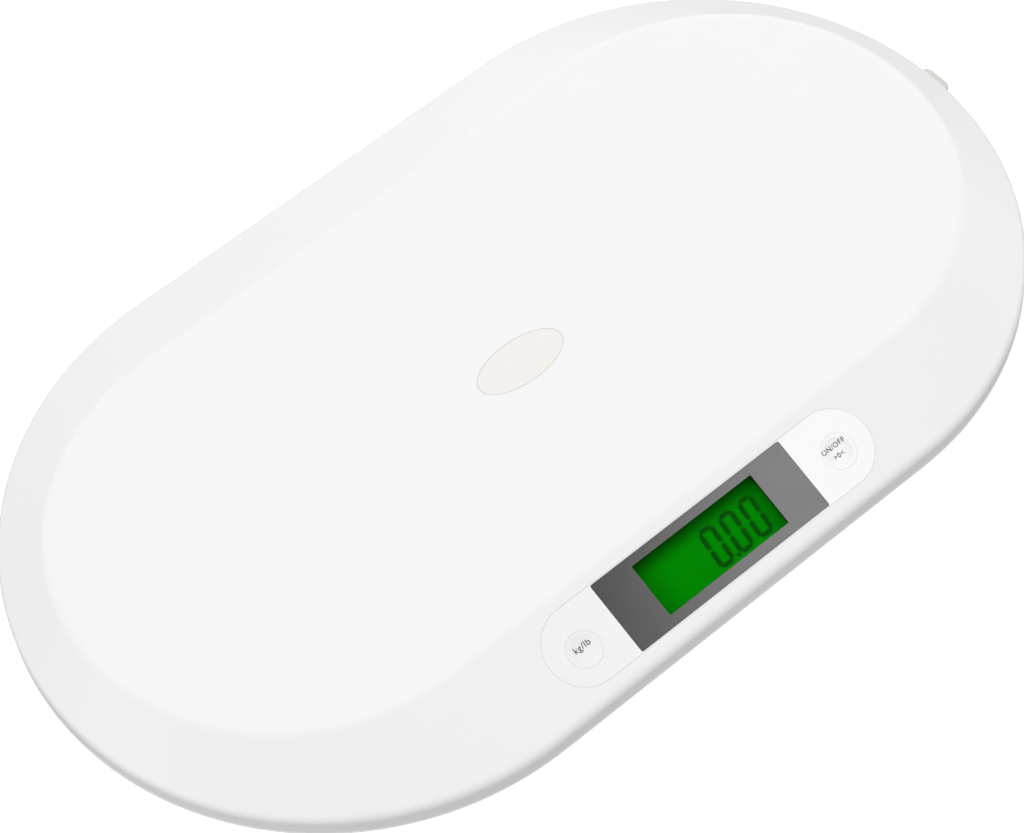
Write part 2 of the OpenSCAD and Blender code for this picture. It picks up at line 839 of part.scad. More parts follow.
module tape_spool() {
    color("orange") difference() {
        union() {
            on_axis(hub_r, -spool_half, spool_half);
            for (s = ears) on_axis(spool_rim, min(s * spool_half, s * (spool_half - lip_t)),
                max(s * spool_half, s * (spool_half - lip_t)));
        }
        on_axis(hub_r - lip_t, -spool_half + lip_t, spool_half + cut);
        on_axis(arbor_r + run, -spool_half - cut, 0);
    }
}

module tape_roll() {
    color("lightyellow") difference() {
        on_axis(roll_r, -tape_w / 2, tape_w / 2);
        on_axis(hub_r + run, -tape_w / 2 - cut, tape_w / 2 + cut);
    }
}

// A flat spring coiled from the arbor to just inside the hub
module power_spring() {
    inner = arbor_r + run;
    outer = hub_r - lip_t - gap;
    leaf = 0.25;
    turn = 360 * spring_turns;
    function coil(a, extra) = (inner + (outer - leaf - inner) * a / turn + extra) * [cos(a), sin(a)];
    color("slategray") translate([spool_x, tape_w / 2, spool_z]) rotate([90, 0, 0])
        linear_extrude(tape_w * 0.8) polygon(concat(
            [for (a = [0 : 20 : turn]) coil(a, 0)],
            [for (a = [turn : -20 : 0]) coil(a, leaf)]));
}

module tape_mouth() {
    start = spool_x + case_x;
    color("white") difference() {
        translate([start, -mouth_w / 2, cover_top])
            cube([mouth_x - start, mouth_w, mouth_top - cover_top]);
        translate([start - cut, -channel_w / 2, tape_low - gap])
            cube([mouth_x - start + 2 * cut, channel_w, tape_t + 2 * gap]);
    }
}

module tape_blade() {
    color("lightyellow") translate([spool_x, -tape_w / 2, tape_low])
        cube([tab_x + tab_grip - spool_x, tape_w, tape_t]);
}

module tape_tab() {
    color("ivory") difference() {
        translate([tab_x, 0, tab_z]) linear_extrude(tab_t) intersection() {
            soft_rect(2 * tab_len, tab_w, tab_r);
            translate([0, -tab_w / 2]) square([tab_len, tab_w]);
        }
        translate([tab_x - cut, -tape_w / 2, tape_low]) cube([tab_grip + cut, tape_w, tape_t]);
    }
}

// ---------- feet ----------

module foot_cup(k) {
    color("gainsboro") translate([foot_at[k][0], foot_at[k][1], 0]) difference() {
        union() {
            translate([0, 0, cup_z]) cylinder(r = cup_r, h = cup_top - cup_z);
            translate([0, 0, flange_z]) cylinder(r = flange_r, h = flange_t);
        }
        translate([0, 0, cup_z - cut]) cylinder(r = pad_r + run, h = pad_sunk + cut);
        translate([0, 0, pad_t + cup_floor]) block(slot_w, slot_w, cell_z);
        translate([0, 0, cell_z]) block(cell_w + 2 * fit, cell_w + 2 * fit, cell_t + cut);
    }
}

module rubber_foot(k) {
    edge = 0.8;
    color("dimgray") translate([foot_at[k][0], foot_at[k][1], 0]) rotate_extrude()
        polygon([[0, 0], [pad_r - edge, 0], [pad_r, edge], [pad_r, pad_t], [0, pad_t]]);
}

// A square plate whose tongue reaches from one side under the load pin
module load_cell(k) {
    gauge = 0.6;
    gauge_w = 4;
    turn = foot_at[k][1] > 0 ? 180 : 0;
    color("silver") translate([foot_at[k][0], foot_at[k][1], cell_z]) rotate([0, 0, turn])
        difference() {
            union() {
                block(cell_w, cell_w, cell_t);
                translate([0, slot_w / 2 - gauge_w / 2, cell_t - bite])
                    block(gauge_w, gauge_w, gauge + bite);
            }
            difference() {
                translate([0, 0, -cut]) block(slot_w, slot_w, cell_t + 2 * cut);
                translate([-tongue_w / 2, -tongue_w / 2, -2 * cut])
                    cube([tongue_w, cell_w, cell_t + 4 * cut]);
            }
        }
}

// ---------- leads ----------

// A tube of eight sides swept along points that mostly run level
function aim(p, i) = let(a = p[max(i - 1, 0)], b = p[min(i + 1, len(p) - 1)]) (b - a) / norm(b - a);
function side_of(t) = let(s = cross(t, [0, 0, 1])) s / norm(s);
function tube_ring(p, i, r) = let(t = aim(p, i), s = side_of(t), u = cross(s, t))
    [for (k = [0 : lead_sides - 1]) p[i] + r * (cos(360 * k / lead_sides) * s
        + sin(360 * k / lead_sides) * u)];
lead_sides = 8;

module tube(p, r) {
    last = len(p) - 1;
    n = lead_sides;
    polyhedron(
        points = [for (i = [0 : last]) each tube_ring(p, i, r)],
        faces = concat(
            [[for (k = [0 : n - 1]) k]],
            [for (i = [0 : last - 1], k = [0 : n - 1])
                [i * n + k, (i + 1) * n + k, (i + 1) * n + (k + 1) % n, i * n + (k + 1) % n]],
            [[for (k = [n - 1 : -1 : 0]) last * n + k]]));
}

// Where a lead at x meets the back of its socket
lead_drop = board_low - socket_h / 2;
lead_y = panel_y + (socket_y + socket_d / 2) * cos(panel_tilt) - lead_drop * sin(panel_tilt) + fit;
lead_z = panel_z + (socket_y + socket_d / 2) * sin(panel_tilt) + lead_drop * cos(panel_tilt);
lead_under = 5;
lead_below = 0.6;
lead_high = ceiling - rib_h - lead_under;
lead_low = post_z - lead_below;
lead_in = cell_w / 2 + cell_frame + gap;

module cell_leads() {
    bend = 8 * lead_r;
    color("crimson") for (sx = ears) {
        x = foot_x - lead_in;
        front_y = -foot_y;
        tube([[sx * x, front_y, lead_low], [sx * (x - 2 * bend), front_y, lead_low],
            [sx * (x - 4 * bend), front_y + bend, lead_high],
            [sx * mid_screw_x, front_y + bend, lead_high],
            [sx * (socket_x + 3 * bend), lead_y + 3 * bend, lead_high],
            [sx * (socket_x + bend / 2), lead_y + bend, lead_z],
            [sx * (socket_x + bend / 2), lead_y, lead_z]], lead_r);
        tube([[sx * x, foot_y, lead_low], [sx * (x - 2 * bend), foot_y, lead_low],
            [sx * (x - 4 * bend), foot_y - 2 * bend, lead_high],
            [sx * (x - 8 * bend), 0, lead_high],
            [sx * (socket_x + 2 * bend), lead_y + 5 * bend, lead_high],
            [sx * (socket_x - bend / 2), lead_y + bend, lead_z],
            [sx * (socket_x - bend / 2), lead_y, lead_z]], lead_r);
    }
}

module battery_leads() {
    bay_front = bay_y - bay_w / 2 - bay_wall;
    apart = 4 * lead_r;
    color("firebrick") for (sx = ears)
        tube([[sx * 2 * apart, bay_front - fit, aaa_z], [sx * 2 * apart, bay_front - 2 * apart, aaa_z + apart],
            [sx * 2 * apart, 0, lead_high], [sx * apart, lead_y + 5 * apart, lead_high],
            [sx * apart, lead_y + 2 * apart, lead_z], [sx * apart, lead_y, lead_z]], lead_r);
}

// ---------- assembly ----------

tray_shell();
bottom_cover();
overlay_film();
display_window();
lcd_gasket();
lcd_glass();
lcd_digits();
lcd_frame();
back_light();
contact_strips();
main_board();
board_chips();
board_connectors();
key_switch(1);  // power_switch
key_switch(-1);  // unit_switch
board_screws();
cover_screws();
battery(0);  // battery_1
battery(1);  // battery_2
battery(2);  // battery_3
battery(3);  // battery_4
battery_springs();
battery_plates();
battery_leads();
cell_leads();
tape_cassette();
cassette_lid();
cassette_screws();
power_spring();
tape_mouth();
centre_label();
load_pins();
key_cap(1);  // power_button
key_plunger(1);  // power_plunger
key_cap(-1);  // unit_button
key_plunger(-1);  // unit_plunger
tape_tab();
tape_blade();
tape_spool();
tape_roll();
battery_door();
foot_cup(0);  // foot_cup_1
foot_cup(1);  // foot_cup_2
foot_cup(2);  // foot_cup_3
foot_cup(3);  // foot_cup_4
rubber_foot(0);  // rubber_foot_1
rubber_foot(1);  // rubber_foot_2
rubber_foot(2);  // rubber_foot_3
rubber_foot(3);  // rubber_foot_4
load_cell(0);  // load_cell_1
load_cell(1);  // load_cell_2
load_cell(2);  // load_cell_3
load_cell(3);  // load_cell_4
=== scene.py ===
"""A digital baby weighing scale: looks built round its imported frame.

Metres, the floor is z = 0, the display faces -Y and the measuring tape comes out at +X.
"""
import math

import bmesh
import bpy
from mathutils import Matrix, Vector


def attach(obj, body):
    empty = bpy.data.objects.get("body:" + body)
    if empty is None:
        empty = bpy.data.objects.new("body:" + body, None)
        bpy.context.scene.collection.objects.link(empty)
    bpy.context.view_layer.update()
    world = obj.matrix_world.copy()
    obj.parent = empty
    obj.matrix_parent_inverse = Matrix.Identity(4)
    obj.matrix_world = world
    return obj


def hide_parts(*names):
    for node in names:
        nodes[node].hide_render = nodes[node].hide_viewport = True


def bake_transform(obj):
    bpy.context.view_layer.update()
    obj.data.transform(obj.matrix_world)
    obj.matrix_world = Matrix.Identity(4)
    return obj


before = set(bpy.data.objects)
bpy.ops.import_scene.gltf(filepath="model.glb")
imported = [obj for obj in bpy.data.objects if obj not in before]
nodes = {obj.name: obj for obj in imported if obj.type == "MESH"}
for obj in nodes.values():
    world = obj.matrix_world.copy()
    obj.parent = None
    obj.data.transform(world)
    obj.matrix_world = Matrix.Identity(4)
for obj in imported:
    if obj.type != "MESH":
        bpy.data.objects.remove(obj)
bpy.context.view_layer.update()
scene = bpy.context.scene

MM = 0.001

# ---------- sizes of the tray, as in the part's source ----------
TRAY_L = 552 * MM
TRAY_W = 326 * MM
SKIRT_Z = 11.4 * MM
SKIRT_H = 9.3 * MM
RIM_R = 5 * MM
CROWN_H = 23.3 * MM
CROWN_R = 8 * MM
END_BAND = 26.5 * MM
FRONT_BAND = 51.5 * MM
BACK_BAND = 46 * MM
WALL = 2.6 * MM
LIP_R = 0.5 * MM

WALL_TOP = SKIRT_Z + SKIRT_H
TOP_Z = WALL_TOP + CROWN_H
RIM_HALF = (TRAY_L - TRAY_W) / 2
TOP_R = (TRAY_W - FRONT_BAND - BACK_BAND) / 2
TOP_HALF = TRAY_L / 2 - END_BAND - TOP_R
TOP_SHIFT = (FRONT_BAND - BACK_BAND) / 2

# ---------- sizes of the display panel ----------
PANEL_UP = 24.4 * MM
PANEL_L = 196 * MM
PANEL_D = 39.8 * MM
FILM_T = 0.6 * MM
WINDOW_L = 117 * MM
FILM_STRIP = 0.6 * MM
WINDOW_D = PANEL_D - 2 * FILM_STRIP
WINDOW_T = 1.6 * MM
WINDOW_R = 1 * MM
VIEW_L = 74 * MM
VIEW_D = 28.4 * MM
FIT = 0.1 * MM
KEY_X = PANEL_L / 2 - 18.8 * MM
KEY_LOW = 2 * MM
KEY_R = 8.9 * MM
KEY_HOLE = 8.96 * MM
KEY_DISH = 1.1 * MM

# ---------- sizes of the label and the tape ----------
LABEL_L = 50 * MM
LABEL_W = 24.5 * MM
LABEL_X = -2.2 * MM
LABEL_Y = -4.2 * MM
LABEL_T = 0.25 * MM
LABEL_IN = 0.3 * MM
TAPE_W = 10 * MM


def slope_tilt(phi):
    """Tilt of the slope on the side of the tray that faces the direction phi."""
    reach = ((RIM_HALF - TOP_HALF) * abs(math.cos(phi)) - TOP_SHIFT * math.sin(phi)
             + TRAY_W / 2 - RIM_R - TOP_R)
    rise = CROWN_H - CROWN_R
    return math.atan2(rise, reach) + math.asin((CROWN_R - RIM_R) / math.hypot(reach, rise))


PANEL_TILT = slope_tilt(-math.pi / 2)
PANEL_Y = -(TRAY_W / 2 - RIM_R) - RIM_R * math.sin(PANEL_TILT) + PANEL_UP * math.cos(PANEL_TILT)
PANEL_Z = WALL_TOP + RIM_R * math.cos(PANEL_TILT) + PANEL_UP * math.sin(PANEL_TILT)
PANEL = Matrix.Translation((0, PANEL_Y, PANEL_Z)) @ Matrix.Rotation(PANEL_TILT, 4, "X")


# ---------- camera, light and stage ----------
def link(tree, out, into):
    tree.links.new(out, into)


def add_node(tree, kind, settings=None, **inputs):
    """A new shader node; an input's name stands with _ for its spaces."""
    made = tree.nodes.new("ShaderNode" + kind)
    for name, value in (settings or {}).items():
        setattr(made, name, value)
    for name, value in inputs.items():
        made.inputs[name.replace("_", " ")].default_value = value
    return made


def math_node(tree, operation, first, second):
    """What an operation makes of two sockets, or of a socket and a number."""
    made = add_node(tree, "Math", {"operation": operation})
    for into, given in zip(made.inputs, (first, second)):
        if isinstance(given, (int, float)):
            into.default_value = given
        else:
            link(tree, given, into)
    return made.outputs[0]


def ramp(tree, value, start, end, low=0, high=1, shape="LINEAR"):
    """A level that runs from low, where value is start, to high, where it is end."""
    made = add_node(tree, "MapRange", {"interpolation_type": shape}, From_Min=start, From_Max=end,
                    To_Min=low, To_Max=high)
    link(tree, value, made.inputs["Value"])
    return made.outputs["Result"]


def mixed(tree, share, first, second):
    """A colour between two, each of which is a colour or a socket."""
    made = add_node(tree, "Mix", {"data_type": "RGBA"})
    link(tree, share, made.inputs["Factor"])
    for name, given in (("A", first), ("B", second)):
        if isinstance(given, tuple):
            made.inputs[name].default_value = (*given, 1)
        else:
            link(tree, given, made.inputs[name])
    return made.outputs["Result"]


def split_xyz(tree, vector):
    made = add_node(tree, "SeparateXYZ")
    link(tree, vector, made.inputs["Vector"])
    return made.outputs


def place_on_object(tree):
    return add_node(tree, "TexCoord").outputs["Object"]


def blank_material(name, **inputs):
    """A new material, its node tree and its main shader."""
    made = bpy.data.materials.new(name)
    made.use_nodes = True
    shader = made.node_tree.nodes["Principled BSDF"]
    for given, value in inputs.items():
        shader.inputs[given.replace("_", " ")].default_value = value
    return made, made.node_tree, shader


def photo_camera():
    """A camera that sees the tray's outline, window and label where the photograph has them."""
    turn, height, roll = -0.610499761, 0.984809469, -0.110725196
    distance, focal_px, image_px, sensor = 1566.7 * MM, 3260.7, 1024, 36.0
    aim = Vector((-17.785, -14.482, 23.5)) * MM
    back = Vector((math.sin(turn) * math.cos(height), -math.cos(turn) * math.cos(height),
                   math.sin(height)))
    right = Vector((math.cos(turn), math.sin(turn), 0))
    up = back.cross(right)
    right, up = (math.cos(roll) * right + math.sin(roll) * up,
                 -math.sin(roll) * right + math.cos(roll) * up)
    data = bpy.data.cameras.new("photo_camera")
    data.sensor_width = sensor
    data.lens = focal_px * sensor / image_px
    data.clip_start = 0.05
    data.clip_end = 20
    camera = bpy.data.objects.new("photo_camera", data)
    camera.matrix_world = Matrix((
        (right.x, up.x, back.x, aim.x + distance * back.x),
        (right.y, up.y, back.y, aim.y + distance * back.y),
        (right.z, up.z, back.z, aim.z + distance * back.z),
        (0, 0, 0, 1)))
    scene.collection.objects.link(camera)
    scene.camera = camera


def area_light(name, place, target, size, power):
    data = bpy.data.lights.new(name, "AREA")
    data.shape = "RECTANGLE"
    data.size, data.size_y = size
    data.energy = power
    light = bpy.data.objects.new(name, data)
    light.location = place
    aim = Vector(target) - Vector(place)
    light.rotation_euler = aim.to_track_quat("-Z", "Y").to_euler()
    light.visible_camera = False
    scene.collection.objects.link(light)
    return light


def studio():
    """A pale sky over a darker ground, soft cards round the tray, and two for the panel alone."""
    scene.view_settings.view_transform = "Standard"
    world = bpy.data.worlds.new("studio")
    scene.world = world
    world.use_nodes = True
    tree = world.node_tree
    look = add_node(tree, "TexCoord").outputs["Generated"]
    horizon, ground, sky = 0.06, 0.38, 0.9
    level = ramp(tree, split_xyz(tree, look)["Z"], -horizon, horizon, ground, sky, "SMOOTHSTEP")
    link(tree, level, tree.nodes["Background"].inputs["Color"])
    area_light("overhead", (0.0, 0.0, 1.6), (0, 0, 0), (1.6, 1.6), 3.2)
    area_light("back_card", (0.9, 1.1, 0.45), (0, 0, 0), (1.2, 0.6), 2.0)
    area_light("left_card", (-1.5, 0.2, 0.5), (0, 0, 0), (1.0, 0.6), 2.2)
    area_light("right_card", (1.5, -0.1, 0.6), (0, 0, 0), (1.0, 0.6), 1.6)
    for name, power, shown in (("window_card", 1.95, ("window_border",)),
                               ("film_card", 0.55, ("overlay_film_sheet", "power_key_cap"))):
        card = area_light(name, (0.32, -0.265, 0.49), (0.06, -0.14, 0.035), (0.5, 0.26), power)
        card.visible_diffuse = False
        shows_in = bpy.data.collections.new(name + "_shows_in")
        for piece in shown:
            shows_in.objects.link(scene.objects[piece])
        card.light_linking.receiver_collection = shows_in


# ---------- materials ----------
def material(name, color, rough, metal=0.0, spread=0.02, grain=0.0, grain_size=0.5 * MM,
             patch_size=20 * MM, coat=0.0, specular=0.5, glow=None):
    """A surface whose colour and roughness drift a little over patches, with a moulded grain."""
    made, tree, shader = blank_material(name, Metallic=metal, Coat_Weight=coat,
                                        Coat_Roughness=0.12, Specular_IOR_Level=specular)
    if glow:
        shader.inputs["Emission Color"].default_value = (*glow, 1)
        shader.inputs["Emission Strength"].default_value = 1
    rough_spread = 0.05
    at = place_on_object(tree)
    patches = add_node(tree, "TexNoise", Scale=1 / patch_size, Detail=4)
    link(tree, at, patches.inputs["Vector"])
    patch = patches.outputs["Fac"]
    tint = mixed(tree, patch, tuple(c * (1 - spread) for c in color),
                 tuple(min(1, c * (1 + spread)) for c in color))
    link(tree, tint, shader.inputs["Base Color"])
    dull = ramp(tree, patch, 0, 1, max(0.02, rough - rough_spread), min(1, rough + rough_spread))
    link(tree, dull, shader.inputs["Roughness"])
    if grain:
        fine = add_node(tree, "TexNoise", Scale=1 / grain_size, Detail=2)
        link(tree, at, fine.inputs["Vector"])
        bump = add_node(tree, "Bump", Strength=grain, Distance=0.1 * MM)
        link(tree, fine.outputs["Fac"], bump.inputs["Height"])
        link(tree, bump.outputs["Normal"], shader.inputs["Normal"])
    return made


WHITE = material("white_plastic", (0.86, 0.86, 0.86), 0.42, spread=0.006, grain=0.04)
COVER_WHITE = material("cover_plastic", (0.82, 0.82, 0.82), 0.55, spread=0.01, grain=0.25,
                       grain_size=0.7 * MM)
FILM = material("panel_film", (0.86, 0.86, 0.865), 0.2, spread=0.004, grain=0.02, specular=0.6)
BORDER = material("window_border", (0.016, 0.016, 0.017), 0.24, spread=0.08, specular=0.5)
FOAM = material("black_foam", (0.02, 0.02, 0.02), 0.95, spread=0.3, grain=0.8, grain_size=0.4 * MM)
LCD_INK = material("lcd_ink", (0.0, 0.01, 0.0), 0.6, spread=0.1, specular=0.05, glow=(0, 0.055, 0))
LCD_SHADE = material("lcd_shade", (0.0, 0.02, 0.0), 0.6, spread=0.1, specular=0.05,
                     glow=(0, 0.09, 0))
IVORY = material("ivory_plastic", (0.66, 0.64, 0.61), 0.42, spread=0.015, grain=0.1)
DIFFUSER = material("light_guide", (0.75, 0.9, 0.75), 0.4, spread=0.05, grain=0.2)
CONTACT = material("contact_rubber", (0.30, 0.22, 0.30), 0.7, spread=0.3, patch_size=0.5 * MM)
BOARD = material("circuit_board", (0.02, 0.17, 0.06), 0.35, spread=0.35, grain=0.3,
                 grain_size=1.2 * MM, patch_size=3 * MM, coat=0.3)
BLACK = material("black_plastic", (0.02, 0.02, 0.022), 0.5, spread=0.15, grain=0.2)
STEEL = material("steel", (0.55, 0.55, 0.54), 0.3, metal=1, spread=0.06, grain=0.15)
NICKEL = material("nickel", (0.68, 0.66, 0.6), 0.22, metal=1, spread=0.06, grain=0.1)
RED = material("red_lead", (0.5, 0.03, 0.02), 0.45, spread=0.08, grain=0.05)
BLACK_LEAD = material("black_lead", (0.02, 0.02, 0.02), 0.45, spread=0.1, grain=0.05)
GREY = material("grey_plastic", (0.62, 0.62, 0.62), 0.5, spread=0.02, grain=0.2)
BLUED = material("spring_steel", (0.12, 0.14, 0.2), 0.3, metal=1, spread=0.15)
ORANGE = material("orange_plastic", (0.8, 0.25, 0.03), 0.4, spread=0.04, grain=0.1)
RUBBER = material("rubber_grey", (0.09, 0.09, 0.095), 0.85, spread=0.15, grain=0.5)
INK = material("legend_ink", (0.06, 0.06, 0.06), 0.5, spread=0.1)
CELL = material("battery_can", (0.03, 0.05, 0.12), 0.28, metal=0.6, spread=0.05, grain=0.02)
BAND = material("can_band", (0.62, 0.36, 0.1), 0.25, metal=0.9, spread=0.05, grain=0.02)
WOUND = material("tape_winding", (0.8, 0.74, 0.42), 0.6, spread=0.06, grain=0.4,
                 grain_size=0.25 * MM, patch_size=1.5 * MM)


def lcd_glow_with_painted_shadow():
    """The lit display: green and brightest in the middle, with a painted shadow along its upper
    edge, where the bezel shades it, and dimmer towards both ends.
    """
    made, tree, shader = blank_material("lcd_green", Base_Color=(0, 0.03, 0, 1), Roughness=0.5,
                                        Specular_IOR_Level=0.01, Emission_Strength=1)
    at = split_xyz(tree, place_on_object(tree))
    upper = (PANEL @ Vector((0, VIEW_D / 2, 0))).y
    # painted shadow: the glow falls to a tenth of its strength at the upper edge, where the bezel
    # shades the display
    level = ramp(tree, at["Y"], upper + 0.5 * MM, upper - 6.6 * MM, low=0.1)
    # the glow is also dimmer towards each end
    for side, outer, inner in ((-1, 7.4 * MM, 13.3 * MM), (1, 2 * MM, 10 * MM)):
        dim = ramp(tree, at["X"], side * (VIEW_L / 2 + outer), side * (VIEW_L / 2 - inner), low=0.3)
        level = math_node(tree, "MULTIPLY", level, dim)
    link(tree, mixed(tree, level, (0, 0.012, 0), (0, 0.2, 0)), shader.inputs["Emission Color"])
    return made


def print_over(made, share, color):
    """Lays a colour over a material's own one, as far as share says."""
    tree = made.node_tree
    base = tree.nodes["Principled BSDF"].inputs["Base Color"]
    link(tree, mixed(tree, share, base.links[0].from_socket, color), base)
    return made


def label_print():
    """Warm white paper with a thin grey line round its edge, by distance in the oval."""
    made = material("label_print", (0.845, 0.815, 0.785), 0.5, spread=0.008, grain=0.05)
    tree = made.node_tree
    scale = add_node(tree, "Mapping", {"vector_type": "TEXTURE"},
                     Location=(LABEL_X, LABEL_Y, TOP_Z), Scale=(LABEL_L / 2, LABEL_W / 2, 1))
    link(tree, place_on_object(tree), scale.inputs["Vector"])
    reach = add_node(tree, "VectorMath", {"operation": "LENGTH"})
    link(tree, scale.outputs["Vector"], reach.inputs[0])
    return print_over(made, ramp(tree, reach.outputs["Value"], 0.98, 0.99), (0.74, 0.71, 0.68))


def tape_cloth():
    """Pale yellow coated tape with a mark at each centimetre, half and millimetre along X."""
    made = material("tape", (0.85, 0.78, 0.42), 0.5, grain=0.5, grain_size=0.3 * MM)
    tree = made.node_tree
    at = split_xyz(tree, place_on_object(tree))
    ink = None
    for pitch, reach, width in ((1, 1.6, 0.22), (5, 2.6, 0.3), (10, 4.2, 0.4)):
        phase = math_node(tree, "PINGPONG", at["X"], pitch * MM / 2)
        near = math_node(tree, "LESS_THAN", phase, width * MM / 2)
        side = math_node(tree, "LESS_THAN", at["Y"], -TAPE_W / 2 + reach * MM)
        mark = math_node(tree, "MULTIPLY", near, side)
        ink = mark if ink is None else math_node(tree, "MAXIMUM", ink, mark)
    return print_over(made, ink, (0.02, 0.02, 0.02))


LCD_GLOW_WITH_PAINTED_SHADOW = lcd_glow_with_painted_shadow()
CLEAR = blank_material("clear_pane", Base_Color=(1, 1, 1, 1), Roughness=0.05,
                       Transmission_Weight=1, IOR=1.03)[0]
LABEL = label_print()
TAPE = tape_cloth()


# ---------- mesh tools ----------
SHARP = 32


def piece_of(name, mesh):
    made = bpy.data.objects.new(name, mesh)
    scene.collection.objects.link(made)
    return made


def from_data(name, points, faces):
    mesh = bpy.data.meshes.new(name)
    mesh.from_pydata([tuple(p) for p in points], [], faces)
    return piece_of(name, mesh)


def bake(made):
    """Applies the piece's modifiers, or turns its curve into a mesh."""
    bpy.context.view_layer.update()
    graph = bpy.context.evaluated_depsgraph_get()
    mesh = bpy.data.meshes.new_from_object(made.evaluated_get(graph))
    mesh.name = made.name
    if made.type == "MESH":
        made.modifiers.clear()
        made.data = mesh
        return made
    name, matrix = made.name, made.matrix_world.copy()
    bpy.data.objects.remove(made)
    mesh.transform(matrix)
    return piece_of(name, mesh)


def tidy(made, sharp=SHARP):
    """Merges doubled points, turns the faces outwards and smooths all but sharp edges."""
    work = bmesh.new()
    work.from_mesh(made.data)
    bmesh.ops.remove_doubles(work, verts=work.verts, dist=1e-6)
    bmesh.ops.recalc_face_normals(work, faces=work.faces)
    work.to_mesh(made.data)
    work.free()
    made.data.shade_smooth()
    made.data.set_sharp_from_angle(angle=math.radians(sharp))
    change = made.modifiers.new("flats", "WEIGHTED_NORMAL")
    change.keep_sharp = True
    return bake(made)


def carve(made, tool, operation="DIFFERENCE"):
    """Cuts tool out of made, joins it on, or keeps what they share."""
    change = made.modifiers.new("carve", "BOOLEAN")
    change.operation = operation
    change.solver = "EXACT"
    change.use_self = operation != "DIFFERENCE"
    change.object = tool
    bake(made)
    bpy.data.objects.remove(tool)
    return made


def join(parts, name):
    """One mesh piece that holds all the parts."""
    work = bmesh.new()
    for part in parts:
        part.data.transform(part.matrix_world)
        work.from_mesh(part.data)
        bpy.data.objects.remove(part)
    mesh = bpy.data.meshes.new(name)
    work.to_mesh(mesh)
    work.free()
    return piece_of(name, mesh)


def round_outline(radius, centre=(0, 0), count=96):
    turns = [2 * math.pi * k / count for k in range(count)]
    return [(centre[0] + radius * math.cos(turn), centre[1] + radius * math.sin(turn))
            for turn in turns]


def circle(radius, height, segments):
    return [Vector((x, y, height)) for x, y in round_outline(radius, count=segments)]


def skin(rings, count, closed):
    """Faces between neighbouring rings of count points; closed joins the last to the first."""
    faces = []
    for i in range(rings if closed else rings - 1):
        j = (i + 1) % rings
        for k in range(count):
            n = (k + 1) % count
            faces.append((i * count + k, i * count + n, j * count + n, j * count + k))
    return faces


def loft(name, rings, closed=False):
    """Skins the rings; closed makes a loop of them, and otherwise both ends are capped."""
    count = len(rings[0])
    points = [point for one in rings for point in one]
    faces = skin(len(rings), count, closed)
    if not closed:
        faces.append(tuple(reversed(range(count))))
        faces.append(tuple(range((len(rings) - 1) * count, len(rings) * count)))
    return from_data(name, points, faces)


def lathe(name, profile, segments=96):
    """A closed turned piece: profile is (radius, height) points, first and last on the axis."""
    points = [point for turned in profile[1:-1] for point in circle(*turned, segments)]
    faces = skin(len(profile) - 2, segments, False)
    low, high, last = len(points), len(points) + 1, len(points) - segments
    points += [Vector((0, 0, profile[0][1])), Vector((0, 0, profile[-1][1]))]
    for k in range(segments):
        n = (k + 1) % segments
        faces.append((low, n, k))
        faces.append((high, last + k, last + n))
    return from_data(name, points, faces)


def ring_lathe(name, profile, segments=96):
    """A turned ring: profile is a closed loop of (radius, height) points off the axis."""
    return loft(name, [circle(*turned, segments) for turned in profile], True)


def racetrack(length, width, arc=48):
    """The outline of a bar with round ends."""
    half, radius = (length - width) / 2, width / 2
    points = []
    for side, start in ((1, -90), (-1, 90)):
        for k in range(arc + 1):
            turn = math.radians(start + 180 * k / arc)
            points.append((side * half + radius * math.cos(turn), radius * math.sin(turn)))
    return points


def soft_rect(length, width, radius, arc=8, centre=(0, 0)):
    """The outline of a rectangle with round corners."""
    points = []
    for sx, sy, start in ((1, -1, -90), (1, 1, 0), (-1, 1, 90), (-1, -1, 180)):
        for k in range(arc + 1):
            turn = math.radians(start + 90 * k / arc)
            points.append((centre[0] + sx * (length / 2 - radius) + radius * math.cos(turn),
                           centre[1] + sy * (width / 2 - radius) + radius * math.sin(turn)))
    return points


def plate(name, outlines, low, high, bevel=0.0):
    """A flat plate between two levels: the first outline is its edge and the others are holes."""
    curve = bpy.data.curves.new(name, "CURVE")
    curve.dimensions = "2D"
    curve.fill_mode = "BOTH"
    for outline in outlines:
        spline = curve.splines.new("POLY")
        spline.points.add(len(outline) - 1)
        for point, (x, y) in zip(spline.points, outline):
            point.co = (x, y, 0, 1)
        spline.use_cyclic_u = True
    curve.extrude = (high - low) / 2 - bevel
    curve.bevel_depth = bevel
    curve.bevel_resolution = 2
    curve.offset = -bevel
    made = bpy.data.objects.new(name, curve)
    made.location.z = (low + high) / 2
    scene.collection.objects.link(made)
    return tidy(bake(made))


def refined(node, bevel, name=None):
    """A copy of a CAD node with its edges rounded off."""
    made = piece_of(name or node + "_body", nodes[node].data.copy())
    made.data.materials.clear()
    work = bmesh.new()
    work.from_mesh(made.data)
    bmesh.ops.remove_doubles(work, verts=work.verts, dist=1e-6)
    bmesh.ops.dissolve_limit(work, angle_limit=math.radians(0.5), verts=work.verts,
                             edges=work.edges)
    work.to_mesh(made.data)
    work.free()
    change = made.modifiers.new("edges", "BEVEL")
    change.width = bevel
    change.segments = 2
    change.limit_method = "ANGLE"
    change.angle_limit = math.radians(35)
    change.use_clamp_overlap = True
    bake(made)
    return tidy(made)


def dress(made, body, surface, slot, *replaced):
    """Gives a piece its material and its body, and hides the CAD nodes that it stands for."""
    made.data.materials.clear()
    for one in surface if isinstance(surface, (list, tuple)) else (surface,):
        made.data.materials.append(one)
    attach(made, body)
    if replaced:
        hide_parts(*replaced)
    return made


def repaint(node, surface):
    """A CAD node that stays, in a better material."""
    data = nodes[node].data
    data.materials.clear()
    data.materials.append(surface)
    data.shade_smooth()
    data.set_sharp_from_angle(angle=math.radians(SHARP))


